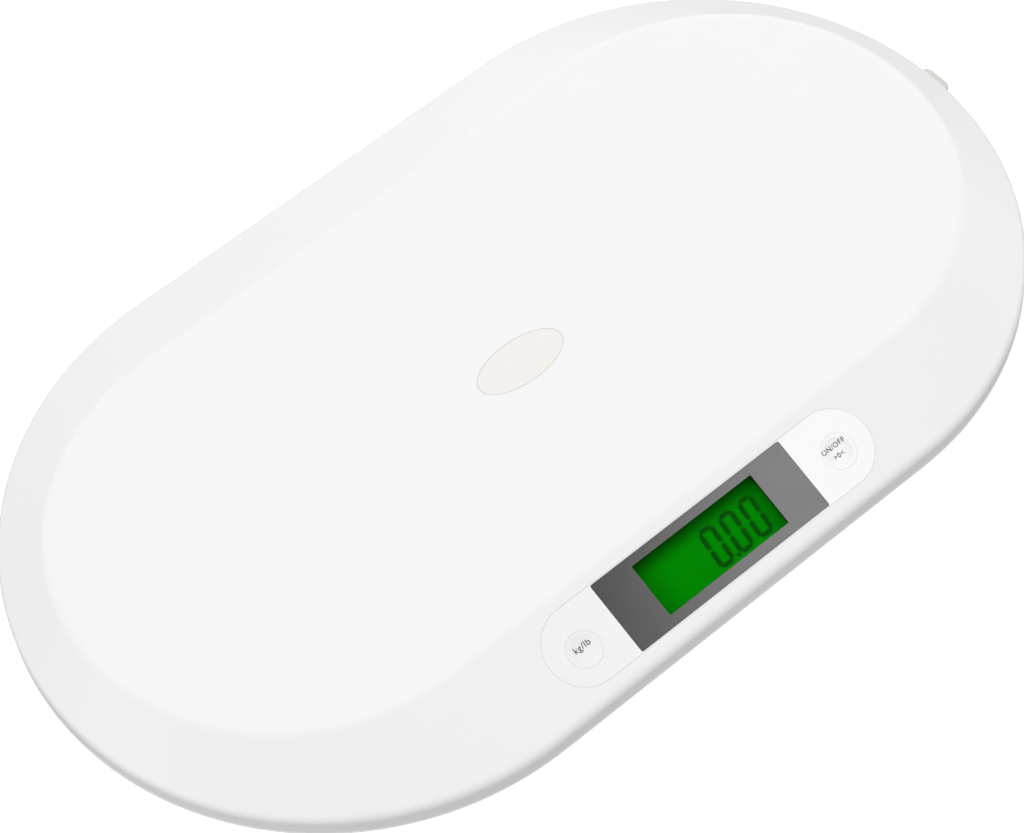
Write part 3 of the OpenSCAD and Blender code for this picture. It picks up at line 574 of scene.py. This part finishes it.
def on_panel(made):
    made.data.transform(PANEL)
    return made


# ---------- the tray ----------
ARC = 96


def place(half, shift, radius, z, phi, side):
    return Vector((side * half + radius * math.cos(phi), shift + radius * math.sin(phi), z))


def wall_point(inset, z):
    return lambda phi, side: place(RIM_HALF, 0, TRAY_W / 2 - inset, z, phi, side)


def top_point(inward, z):
    return lambda phi, side: place(TOP_HALF, TOP_SHIFT, TOP_R - inward, z, phi, side)


def rim_point(inset, share):
    def at(phi, side):
        angle = share * (math.pi / 2 - slope_tilt(phi))
        radius = RIM_R - inset
        return place(RIM_HALF, 0, TRAY_W / 2 - RIM_R + radius * math.cos(angle),
                     WALL_TOP + radius * math.sin(angle), phi, side)
    return at


def crown_point(inset, share):
    def at(phi, side):
        angle = (1 - share) * slope_tilt(phi)
        radius = CROWN_R - inset
        return place(TOP_HALF, TOP_SHIFT, TOP_R + radius * math.sin(angle),
                     TOP_Z - CROWN_R + radius * math.cos(angle), phi, side)
    return at


def ring(at):
    """One ring of points round the tray, anticlockwise from the front of the right end."""
    return [at(math.radians(start + 180 * k / ARC), side)
            for side, start in ((1, -90), (-1, 90)) for k in range(ARC + 1)]


def arcs(inset, steps):
    """The rings over the rim's arc, and those over the crown's, drawn in by inset."""
    shares = [k / steps for k in range(steps + 1)]
    return ([rim_point(inset, share) for share in shares],
            [crown_point(inset, share) for share in shares])


def tray_form(name, inset, bottom):
    """A solid of the tray's form, drawn in by inset."""
    rim, crown = arcs(inset, 10)
    return loft(name, [ring(at) for at in [wall_point(inset, bottom)] + rim + crown
                       + [top_point(4 * MM, TOP_Z - inset)]])


def slope_point(inset, share):
    low, high = rim_point(inset, 1), crown_point(inset, 0)
    return lambda phi, side: low(phi, side).lerp(high(phi, side), share)


def cylinder(name, radius, low, high, x=0.0, y=0.0, segments=48):
    made = lathe(name, [(0, low), (radius, low), (radius, high), (0, high)], segments)
    made.data.transform(Matrix.Translation((x, y, 0)))
    return made


def bar(name, x0, x1, y0, y1, z0, z1):
    return plate(name, [[(x0, y0), (x1, y0), (x1, y1), (x0, y1)]], z0, z1)


# ---------- sizes of what is under the platform ----------
COVER_Z = 12.0 * MM
COVER_TOP = 14.4 * MM
WELL_TOP = 20.4 * MM
SCREW_R = 1.5 * MM
SCREW_L = 12 * MM
SMALL_R = 1 * MM
BOSS_R = 4 * MM
RUN = 0.06 * MM
FOOT_AT = [(-185 * MM, -88 * MM), (185 * MM, -88 * MM), (-185 * MM, 88 * MM), (185 * MM, 88 * MM)]
SCREW_AT = [(s * x, y) for s in (-1, 1)
            for x, y in ((225 * MM, 50 * MM), (225 * MM, -50 * MM), (100 * MM, -98 * MM),
                         (100 * MM, 103.5 * MM))]
BOARD_BOSS_AT = [(s * x, y) for s in (-1, 1)
                 for x, y in ((50.8 * MM, 15.2 * MM), (50.8 * MM, -15.2 * MM), (94.6 * MM, 0))]
BOARD_TOP = -8.6 * MM
GUIDE_R = 27.8 * MM
RING_T = 2 * MM
POST_Z = 24.9 * MM
POST_R = 5 * MM
PIN_R = 2 * MM
PIN_IN = 8 * MM
SPOOL_X = 236 * MM
SPOOL_Z = 27.0 * MM
EAR_Y = 11.2 * MM
EAR_TOP = 32 * MM
MOUTH_W = 16.6 * MM
MOUTH_TOP = 17.2 * MM
CEILING = TOP_Z - WALL
RIB_T = 1.6 * MM
RIB_H = 5 * MM
RIB_ROW = 0.38
RIB_PITCH = 0.72
RIB_SHORT = 15 * MM
GUIDE_LOW = 14.7 * MM
NOTCH_W = 7 * MM
NOTCH_L = 8 * MM
NOTCH_LOW = 10 * MM
NOTCH_TOP = POST_Z + 4.6 * MM
EAR_R = 3.2 * MM
BOARD_BOSS_R = 3 * MM


def tray_inside():
    """The guide rings, posts, bosses and ribs that hang from the platform."""
    parts = []
    for x, y in FOOT_AT:
        guide = ring_lathe("guide", [(GUIDE_R, GUIDE_LOW), (GUIDE_R + RING_T, GUIDE_LOW),
                                     (GUIDE_R + RING_T, TOP_Z), (GUIDE_R, TOP_Z)])
        guide.data.transform(Matrix.Translation((x, y, 0)))
        tidy(guide)
        inner = x - math.copysign(GUIDE_R, x)
        notch = bar("notch", inner - NOTCH_L / 2, inner + NOTCH_L / 2, y - NOTCH_W / 2,
                    y + NOTCH_W / 2, NOTCH_LOW, NOTCH_TOP)
        parts.append(carve(guide, notch))
        parts.append(cylinder("post", POST_R, POST_Z, TOP_Z, x, y))
    parts += [cylinder("boss", BOSS_R, WELL_TOP, TOP_Z, x, y) for x, y in SCREW_AT]
    parts += [cylinder("ear_boss", EAR_R, EAR_TOP, TOP_Z, SPOOL_X, s * EAR_Y) for s in (-1, 1)]
    rib_x = TOP_HALF + TOP_R / 6
    rib_y = TOP_R - RIB_SHORT
    for s in (-1, 1):
        at = TOP_SHIFT + s * TOP_R * RIB_ROW
        parts.append(bar("rib", -rib_x, rib_x, at - RIB_T / 2, at + RIB_T / 2,
                         CEILING - RIB_H, TOP_Z))
    for k in (-1.5, -0.5, 0.5, 1.5):
        at = k * TOP_HALF * RIB_PITCH
        parts.append(bar("rib", at - RIB_T / 2, at + RIB_T / 2, TOP_SHIFT - rib_y,
                         TOP_SHIFT + rib_y, CEILING - RIB_H, TOP_Z))
    inside = tidy(join(parts, "inside"))
    return carve(inside, tidy(tray_form("mid_form", WALL / 2, 5 * MM)), "INTERSECT")


def tray():
    """The tray's moulding: its skin, with the rings that keep its arcs crisp, and its openings."""
    hold = 0.02
    lip = [wall_point(LIP_R * (1 - math.sin(a)), SKIRT_Z + LIP_R * (1 - math.cos(a)))
           for a in (math.radians(d) for d in (90, 60, 30, 0))]

    def shell(inset):
        rim, crown = arcs(inset, 12)
        return (rim + [slope_point(inset, hold), slope_point(inset, 1 - hold)] + crown
                + [top_point(0.6 * MM, TOP_Z - inset), top_point(6 * MM, TOP_Z - inset)])

    outer = lip + [wall_point(0, WALL_TOP - 0.4 * MM)] + shell(0)
    inner = [wall_point(WALL, SKIRT_Z)] + shell(WALL)
    made = tidy(loft("tray_body", [ring(at) for at in list(reversed(outer)) + inner]))
    carve(made, tray_inside(), "UNION")
    bosses = [cylinder("board_boss", BOARD_BOSS_R, BOARD_TOP, -WALL + 0.4 * MM, x, y)
              for x, y in BOARD_BOSS_AT]
    carve(made, tidy(on_panel(join(bosses, "board_bosses"))), "UNION")
    up = 2 * MM
    carve(made, on_panel(plate("film_recess", [racetrack(PANEL_L, PANEL_D)], -FILM_T, up)))
    carve(made, on_panel(plate("window_recess", [soft_rect(WINDOW_L, WINDOW_D, WINDOW_R)],
                               -WINDOW_T, up)))
    carve(made, on_panel(plate("view_hole", [soft_rect(VIEW_L + MM, VIEW_D + MM, 0.4 * MM)],
                               -WALL - up, up)))
    holes = [cylinder("key_hole", KEY_HOLE, -WALL - up, up, s * KEY_X, -KEY_LOW, 96)
             for s in (-1, 1)]
    holes += [cylinder("pilot", SMALL_R + RUN, BOARD_TOP - up, -WALL - 0.1 * MM, x, y, 24)
              for x, y in BOARD_BOSS_AT]
    carve(made, tidy(on_panel(join(holes, "panel_holes"))))
    holes = [cylinder("pilot", SCREW_R + RUN, WELL_TOP - up, WELL_TOP + SCREW_L, x, y, 32)
             for x, y in SCREW_AT]
    holes += [cylinder("pin_hole", PIN_R + RUN, POST_Z - up, POST_Z + PIN_IN, x, y, 32)
              for x, y in FOOT_AT]
    holes += [cylinder("ear_pilot", SMALL_R + RUN, EAR_TOP - up, EAR_TOP + 4 * MM, SPOOL_X,
                       s * EAR_Y, 24) for s in (-1, 1)]
    carve(made, tidy(join(holes, "pilots")))
    recess = plate("label_recess", [round_outline(0.5)], TOP_Z - LABEL_IN, TOP_Z + up)
    recess.data.transform(Matrix.Translation((LABEL_X, LABEL_Y, 0))
                          @ Matrix.Diagonal((LABEL_L + 0.4 * MM, LABEL_W + 0.4 * MM, 1, 1)))
    carve(made, recess)
    slot = 0.2 * MM
    carve(made, bar("tape_slot", RIM_HALF, TRAY_L, -MOUTH_W / 2 - slot, MOUTH_W / 2 + slot,
                    COVER_TOP - slot, MOUTH_TOP + slot))
    return tidy(made, 30)


# ---------- the display panel ----------
def film():
    """The white overlay sheet, with openings for the window and the keys."""
    outline = soft_rect(WINDOW_L, WINDOW_D, WINDOW_R)
    keys = [round_outline(KEY_HOLE, (s * KEY_X, -KEY_LOW)) for s in (-1, 1)]
    return on_panel(plate("overlay_film_sheet",
                          [racetrack(PANEL_L - 2 * FIT, PANEL_D - 2 * FIT), outline] + keys,
                          -FILM_T, 0, 0.04 * MM))


def window_border():
    """The smoked frame round the clear part of the window."""
    aperture = soft_rect(VIEW_L - 0.2 * MM, VIEW_D, 0.5 * MM, centre=(0, 0.35 * MM))
    return on_panel(plate("window_border", [soft_rect(WINDOW_L - 2 * FIT, WINDOW_D - 2 * FIT,
                                                      WINDOW_R), aperture],
                          -WINDOW_T, 0, 0.12 * MM))


def window_pane():
    gap = 0.1 * MM
    outline = soft_rect(VIEW_L - 0.2 * MM - gap, VIEW_D - gap, 0.45 * MM, centre=(0, 0.35 * MM))
    return on_panel(plate("window_pane", [outline], -WINDOW_T, -0.02 * MM, 0.02 * MM))


def digit_shade():
    """The soft shadow that the digits cast on the reflector, a little lower and to the right."""
    made = piece_of("digit_shade", nodes["lcd_digits"].data.copy())
    slide = PANEL.to_3x3() @ Vector((0.8 * MM, -0.3 * MM, -0.06 * MM))
    made.data.transform(Matrix.Translation(slide))
    return tidy(made)


DISH_R = 0.85 * KEY_R
DISH_BALL = (DISH_R ** 2 + KEY_DISH ** 2) / (2 * KEY_DISH)


def dish_depth(radius):
    """Level of a key's dished face at a distance from its middle."""
    if radius >= DISH_R:
        return 0.0
    return DISH_BALL - KEY_DISH - math.sqrt(DISH_BALL ** 2 - radius ** 2)


def key(name, side):
    """A key's dished cap, its lip under the tray's skin and the stem that meets its switch."""
    lip_top, lip_low = -WALL - 0.3 * MM, -WALL - 1.3 * MM
    lip_r, stem_r, stem_low = KEY_R + 1.7 * MM, 2.3 * MM, -4.3 * MM
    fillet = 0.06 * MM
    top = [(DISH_R * k / 10, dish_depth(DISH_R * k / 10)) for k in range(11)]
    edge = [(KEY_R - fillet + fillet * math.sin(a), -fillet + fillet * math.cos(a))
            for a in (math.radians(15 * k) for k in range(7))]
    profile = (top + edge + [(KEY_R, lip_top), (lip_r, lip_top), (lip_r, lip_low),
                             (stem_r, lip_low), (stem_r, stem_low), (0, stem_low)])
    made = lathe(name, profile, 96)
    made.data.transform(Matrix.Translation((side * KEY_X, -KEY_LOW, 0)))
    return tidy(on_panel(made), 50)


def legend(name, words, height, side, x, y):
    """Words laid on a key's dished face."""
    text = bpy.data.curves.new(name, "FONT")
    text.body = words
    text.size = height / 0.73
    text.align_x = "CENTER"
    text.resolution_u = 4
    text.offset = 0.035 * MM
    text.space_character = 1.12
    made = bpy.data.objects.new(name, text)
    scene.collection.objects.link(made)
    made = bake(made)
    lift = 0.04 * MM
    for point in made.data.vertices:
        u, v = point.co.x + x, point.co.y + y
        point.co = Vector((side * KEY_X + u, -KEY_LOW + v, dish_depth(math.hypot(u, v)) + lift))
    return on_panel(made)


# ---------- the measuring tape ----------
TAPE_LOW = 15.5 * MM
TAPE_TOP = 15.7 * MM
TAB_X = 276.3 * MM
TAB_END = 282 * MM
TAB_W = 18 * MM
TAB_R = 4 * MM
TAB_LOW = 12.5 * MM
TAB_TOP = 17.5 * MM
TAB_GRIP = 3 * MM


def tab():
    """The tape's pull tab, slotted for the tape's end."""
    outline = [(TAB_X, TAB_W / 2), (TAB_X, -TAB_W / 2)]
    for sy, start in ((-1, -90), (1, 0)):
        for k in range(13):
            turn = math.radians(start + 90 * k / 12)
            outline.append((TAB_END - TAB_R + TAB_R * math.cos(turn),
                            sy * (TAB_W / 2 - TAB_R) + TAB_R * math.sin(turn)))
    made = plate("tape_tab_body", [outline], TAB_LOW, TAB_TOP, 0.9 * MM)
    slot = bar("grip", TAB_X - MM, TAB_X + TAB_GRIP, -TAPE_W / 2, TAPE_W / 2, TAPE_LOW, TAPE_TOP)
    return tidy(carve(made, slot), 40)


def blade():
    """The tape from the spool to its tab, in many short lengths."""
    count, across = 160, 4
    start, end = SPOOL_X, TAB_X + TAB_GRIP
    outline = ([(-TAPE_W / 2 + TAPE_W * k / across, TAPE_LOW) for k in range(across + 1)]
               + [(TAPE_W / 2 - TAPE_W * k / across, TAPE_TOP) for k in range(across + 1)])
    rings = [[(start + (end - start) * i / count, y, z) for y, z in outline]
             for i in range(count + 1)]
    return tidy(loft("tape_strip", rings))


def roll():
    """The wound tape, with the edges of its turns showing on both faces."""
    inner, outer, half, turns = 7.56 * MM, 11 * MM, TAPE_W / 2, 14
    step = (outer - inner) / turns
    face = [(inner + (k + 0.5 * (j == 1)) * step, half - (0.08 * MM if j == 0 else 0))
            for k in range(turns) for j in (0, 1)][1:]
    profile = face + [(outer, half)] + [(r, -h) for r, h in reversed([(outer, half)] + face)]
    made = ring_lathe("tape_winding", profile)
    made.data.transform(Matrix.Rotation(-math.pi / 2, 4, "X"))
    made.data.transform(Matrix.Translation((SPOOL_X, 0, SPOOL_Z)))
    return tidy(made, 20)


# ---------- batteries and feet ----------
CELL_R = 5.25 * MM
CELL_Z = 19.35 * MM
CELL_END = 24.6 * MM
CELL_L = 44.5 * MM
NUB_R = 1.9 * MM
NUB_L = 0.8 * MM
SPRING_L = 4.7 * MM
BAY_HALF = 25 * MM
PLATE_T = 0.4 * MM
CELL_Y = [38.65 * MM, 49.55 * MM, 60.45 * MM, 71.35 * MM]


def cell_matrix(i):
    return (Matrix.Translation((0, CELL_Y[i], CELL_Z))
            @ Matrix.Rotation(0 if i % 2 == 0 else math.pi, 4, "Z")
            @ Matrix.Rotation(math.pi / 2, 4, "Y"))


def cell(i):
    """A battery: a dark can with a copper band and bare steel ends."""
    low, high = CELL_END - CELL_L, CELL_END - NUB_L
    fillet, groove = 0.5 * MM, 0.25 * MM
    profile = [(0, low), (CELL_R - 1.4 * MM, low), (CELL_R - fillet, low + 0.1 * MM),
               (CELL_R, low + fillet), (CELL_R, high - 3 * fillet),
               (CELL_R - groove, high - 2 * fillet), (CELL_R - groove, high - fillet),
               (CELL_R - 2 * groove, high - groove), (CELL_R - 1.2 * MM, high),
               (CELL_R - 1.3 * MM, high - groove), (NUB_R + 0.3 * MM, high - groove),
               (NUB_R, high), (NUB_R, CELL_END - 0.2 * MM), (NUB_R - 0.2 * MM, CELL_END),
               (0, CELL_END)]
    made = lathe("cell_%d" % (i + 1), profile, 48)
    tidy(made, 40)
    band = high - 11 * MM
    for face in made.data.polygons:
        height = face.center.z
        reach = math.hypot(face.center.x, face.center.y)
        if reach < CELL_R - 0.6 * MM:
            face.material_index = 2
        elif height > band:
            face.material_index = 1
    made.data.transform(cell_matrix(i))
    return made


def wire(name, points, radius, fineness):
    """A round wire or lead along its points, capped at both ends."""
    curve = bpy.data.curves.new(name, "CURVE")
    curve.dimensions = "3D"
    curve.bevel_depth = radius
    curve.bevel_resolution = fineness
    curve.use_fill_caps = True
    spline = curve.splines.new("POLY")
    spline.points.add(len(points) - 1)
    for point, at in zip(spline.points, points):
        point.co = (*at, 1)
    made = bpy.data.objects.new(name, curve)
    scene.collection.objects.link(made)
    return bake(made)


def spring(i):
    """The conical spring behind a cell, closed at both ends."""
    turns, thick, count = 5.5, 0.3 * MM, 220
    low = -BAY_HALF + PLATE_T
    points = []
    for k in range(count + 1):
        share = k / count
        turn = 2 * math.pi * turns * share
        reach = (4.2 * (1 - share) + 2.36 * share) * MM - thick
        climb = min(max((turns * share - 0.75) / (turns - 1.5), 0), 1)
        height = low + thick + (SPRING_L - 2 * thick) * climb
        points.append((reach * math.cos(turn), reach * math.sin(turn), height))
    made = wire("cell_spring", points, thick, 2)
    made.data.transform(cell_matrix(i))
    return made


def foot_pad(k):
    """A rubber foot with rings in its tread."""
    radius, height, edge, deep = 21 * MM, 4 * MM, 0.8 * MM, 0.5 * MM
    profile = [(0, 0), (4 * MM, 0)]
    for r in (4.6, 8.6, 12.6, 16.6):
        profile += [((r - 0.4) * MM, 0), (r * MM, deep), ((r + 0.9) * MM, deep),
                    ((r + 1.3) * MM, 0)]
    profile += [(radius - edge + edge * math.sin(a), edge - edge * math.cos(a))
                for a in (math.radians(15 * j) for j in range(7))]
    profile += [(radius, height), (0, height)]
    made = lathe("foot_pad_%d" % (k + 1), profile, 96)
    made.data.transform(Matrix.Translation((*FOOT_AT[k], 0)))
    return tidy(made, 40)


DOOR_LATCH_Y = 78.9 * MM
LEAD_R = 0.8 * MM
SOCKET_X = 31.5 * MM
SOCKET_Y = 19 * MM
SOCKET_DEEP = 12.45 * MM
CELL_FOOT_X = 165.7 * MM
BAY_FRONT_Y = 31.5 * MM


def door():
    """The battery door, with finger ridges by its latch."""
    made = refined("battery_door", 0.15 * MM, "battery_door_leaf")
    ridges = []
    for k in range(4):
        y = DOOR_LATCH_Y - (4 + 2.2 * k) * MM
        ridges.append(plate("ridge", [soft_rect(13 * MM, 0.9 * MM, 0.4 * MM, 4, (0, y))],
                            COVER_Z - 0.4 * MM, COVER_Z + 0.3 * MM, 0.12 * MM))
    return tidy(join([made] + ridges, "battery_door_leaf"))


def smooth_path(points, times=3):
    """Rounds a path's corners by cutting them, and keeps its two ends."""
    for _ in range(times):
        cut = [points[0]]
        for a, b in zip(points, points[1:]):
            cut += [a.lerp(b, 0.25), a.lerp(b, 0.75)]
        points = cut + [points[-1]]
    return points


def leads(which):
    """The leads from the load cells, or from the batteries, to the sockets on the board."""
    back = PANEL @ Vector((0, SOCKET_Y, -SOCKET_DEEP))
    y, z = back.y + 0.2 * MM, back.z
    high, low, bend = CEILING - RIB_H - 5 * MM, POST_Z - 0.6 * MM, 8 * LEAD_R
    front, apart, x = FOOT_AT[0][1], 4 * LEAD_R, CELL_FOOT_X
    parts = []
    for s in (-1, 1):
        if which == "cell_leads":
            paths = ([(x, front, low), (x - 2 * bend, front, low),
                      (x - 4 * bend, front + bend, high), (100 * MM, front + bend, high),
                      (SOCKET_X + 3 * bend, y + 3 * bend, high),
                      (SOCKET_X + bend / 2, y + bend, z), (SOCKET_X + bend / 2, y, z)],
                     [(x, -front, low), (x - 2 * bend, -front, low),
                      (x - 4 * bend, -front - 2 * bend, high), (x - 8 * bend, 0, high),
                      (SOCKET_X + 2 * bend, y + 5 * bend, high),
                      (SOCKET_X - bend / 2, y + bend, z), (SOCKET_X - bend / 2, y, z)])
        else:
            paths = ([(2 * apart, BAY_FRONT_Y - 0.2 * MM, CELL_Z),
                      (2 * apart, BAY_FRONT_Y - 2 * apart, CELL_Z + apart),
                      (2 * apart, 0, high), (apart, y + 5 * apart, high),
                      (apart, y + 2 * apart, z), (apart, y, z)],)
        for path in paths:
            points = smooth_path([Vector((s * px, py, pz)) for px, py, pz in path])
            parts.append(wire("lead", points, LEAD_R, 3))
    return tidy(join(parts, which + "_wire"))


# ---------- the scene ----------
dress(tray(), "tray", WHITE, "white_plastic", "tray_shell")
dress(film(), "tray", FILM, "panel_film", "overlay_film")
dress(window_border(), "tray", BORDER, "smoked_window", "display_window")
dress(window_pane(), "tray", CLEAR, "smoked_window", "display_window")
dress(refined("lcd_glass", 0.15 * MM), "tray", LCD_GLOW_WITH_PAINTED_SHADOW, "lcd_green", "lcd_glass")
repaint("lcd_digits", LCD_INK)
# painted shadow: a darker green copy of the digits, a little lower and to the right, stands for the
# shadow they cast on the reflector
dress(digit_shade(), "tray", LCD_SHADE, "lcd_ink")
repaint("lcd_gasket", FOAM)
repaint("back_light", DIFFUSER)
repaint("contact_strips", CONTACT)

dress(key("power_key_cap", 1), "power_key", FILM, "white_plastic", "power_button")
dress(key("unit_key_cap", -1), "unit_key", FILM, "white_plastic", "unit_button")
repaint("power_plunger", BLACK)
repaint("unit_plunger", BLACK)
for made in (legend("power_words", "ON/OFF", 2.6 * MM, 1, -0.8 * MM, 2.2 * MM),
             legend("zero_sign", ">0<", 2.6 * MM, 1, -0.8 * MM, -2.7 * MM)):
    dress(made, "power_key", INK, "label_print")
dress(legend("unit_words", "kg/lb", 3.2 * MM, -1, 0, 0.4 * MM), "unit_key", INK, "label_print")

label = plate("label_sheet", [round_outline(0.5)], 0, LABEL_T)
label.data.transform(Matrix.Translation((LABEL_X, LABEL_Y, TOP_Z - LABEL_IN))
                     @ Matrix.Diagonal((LABEL_L, LABEL_W, 1, 1)))
dress(label, "tray", LABEL, "label_print", "centre_label")

dress(tab(), "tape_end", IVORY, "ivory_plastic", "tape_tab")

dress(roll(), "spool", WOUND, "tape", "tape_roll")
dress(refined("tape_spool", 0.12 * MM), "spool", ORANGE, "orange_plastic", "tape_spool")
repaint("power_spring", BLUED)
dress(refined("tape_cassette", 0.3 * MM), "tray", GREY, "grey_plastic", "tape_cassette")
dress(refined("cassette_lid", 0.3 * MM), "tray", GREY, "grey_plastic", "cassette_lid")
dress(refined("tape_mouth", 0.3 * MM), "tray", WHITE, "white_plastic", "tape_mouth")

dress(refined("bottom_cover", 0.3 * MM, "bottom_cover_shell"), "tray", COVER_WHITE,
      "white_plastic", "bottom_cover")
dress(door(), "door", COVER_WHITE, "white_plastic", "battery_door")
for i in range(4):
    dress(cell(i), "tray", (CELL, BAND, STEEL), "battery_can", "battery_%d" % (i + 1))
dress(join([spring(i) for i in range(4)], "cell_springs"), "tray", NICKEL, "steel",
      "battery_springs")
dress(refined("battery_plates", 0.08 * MM), "tray", NICKEL, "steel", "battery_plates")

dress(refined("lcd_frame", 0.3 * MM), "tray", IVORY, "ivory_plastic", "lcd_frame")
dress(refined("main_board", 0.1 * MM), "tray", BOARD, "circuit_board", "main_board")
dress(refined("board_chips", 0.12 * MM), "tray", BLACK, "black_plastic", "board_chips")
dress(refined("board_connectors", 0.2 * MM), "tray", IVORY, "ivory_plastic", "board_connectors")
for name in ("power_switch", "unit_switch"):
    dress(refined(name, 0.15 * MM), "tray", BLACK, "black_plastic", name)
for name in ("board_screws", "cassette_screws", "cover_screws"):
    dress(refined(name, 0.15 * MM), "tray", STEEL, "steel", name)
repaint("load_pins", STEEL)
dress(leads("cell_leads"), "tray", RED, "red_lead", "cell_leads")
dress(leads("battery_leads"), "tray", BLACK_LEAD, "red_lead", "battery_leads")

for k in range(4):
    foot = "foot_%d" % (k + 1)
    dress(foot_pad(k), foot, RUBBER, "rubber_grey", "rubber_foot_%d" % (k + 1))
    dress(refined("foot_cup_%d" % (k + 1), 0.4 * MM), foot, GREY, "grey_plastic",
          "foot_cup_%d" % (k + 1))
    dress(refined("load_cell_%d" % (k + 1), 0.15 * MM), foot, STEEL, "steel",
          "load_cell_%d" % (k + 1))


def floor():
    """A pale floor that is clear from below, so that the underside can be seen."""
    size = 6
    low = -0.02 * MM
    made = from_data("floor", [(-size, -size, low), (size, -size, low), (size, size, low),
                               (-size, size, low)], [(0, 1, 2, 3)])
    surface, tree, shader = blank_material(
        "pale_floor", Base_Color=(0.8, 0.8, 0.8, 1), Roughness=0.9, Specular_IOR_Level=0,
        Emission_Color=(1, 1, 1, 1), Emission_Strength=0.85)
    side = add_node(tree, "NewGeometry")
    clear = add_node(tree, "BsdfTransparent")
    either = add_node(tree, "MixShader")
    link(tree, side.outputs["Backfacing"], either.inputs["Fac"])
    link(tree, shader.outputs["BSDF"], either.inputs[1])
    link(tree, clear.outputs["BSDF"], either.inputs[2])
    link(tree, either.outputs["Shader"], tree.nodes["Material Output"].inputs["Surface"])
    made.data.materials.append(surface)
    made.visible_diffuse = False
    made.visible_glossy = False


def strip_blend(made):
    """Gives the strip the tape's material, hides the CAD blade and bakes its place into its mesh.
    """
    made.data.materials.clear()
    made.data.materials.append(TAPE)
    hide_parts("tape_blade")
    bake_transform(made)


strip_blend(blade())
floor()
photo_camera()
studio()
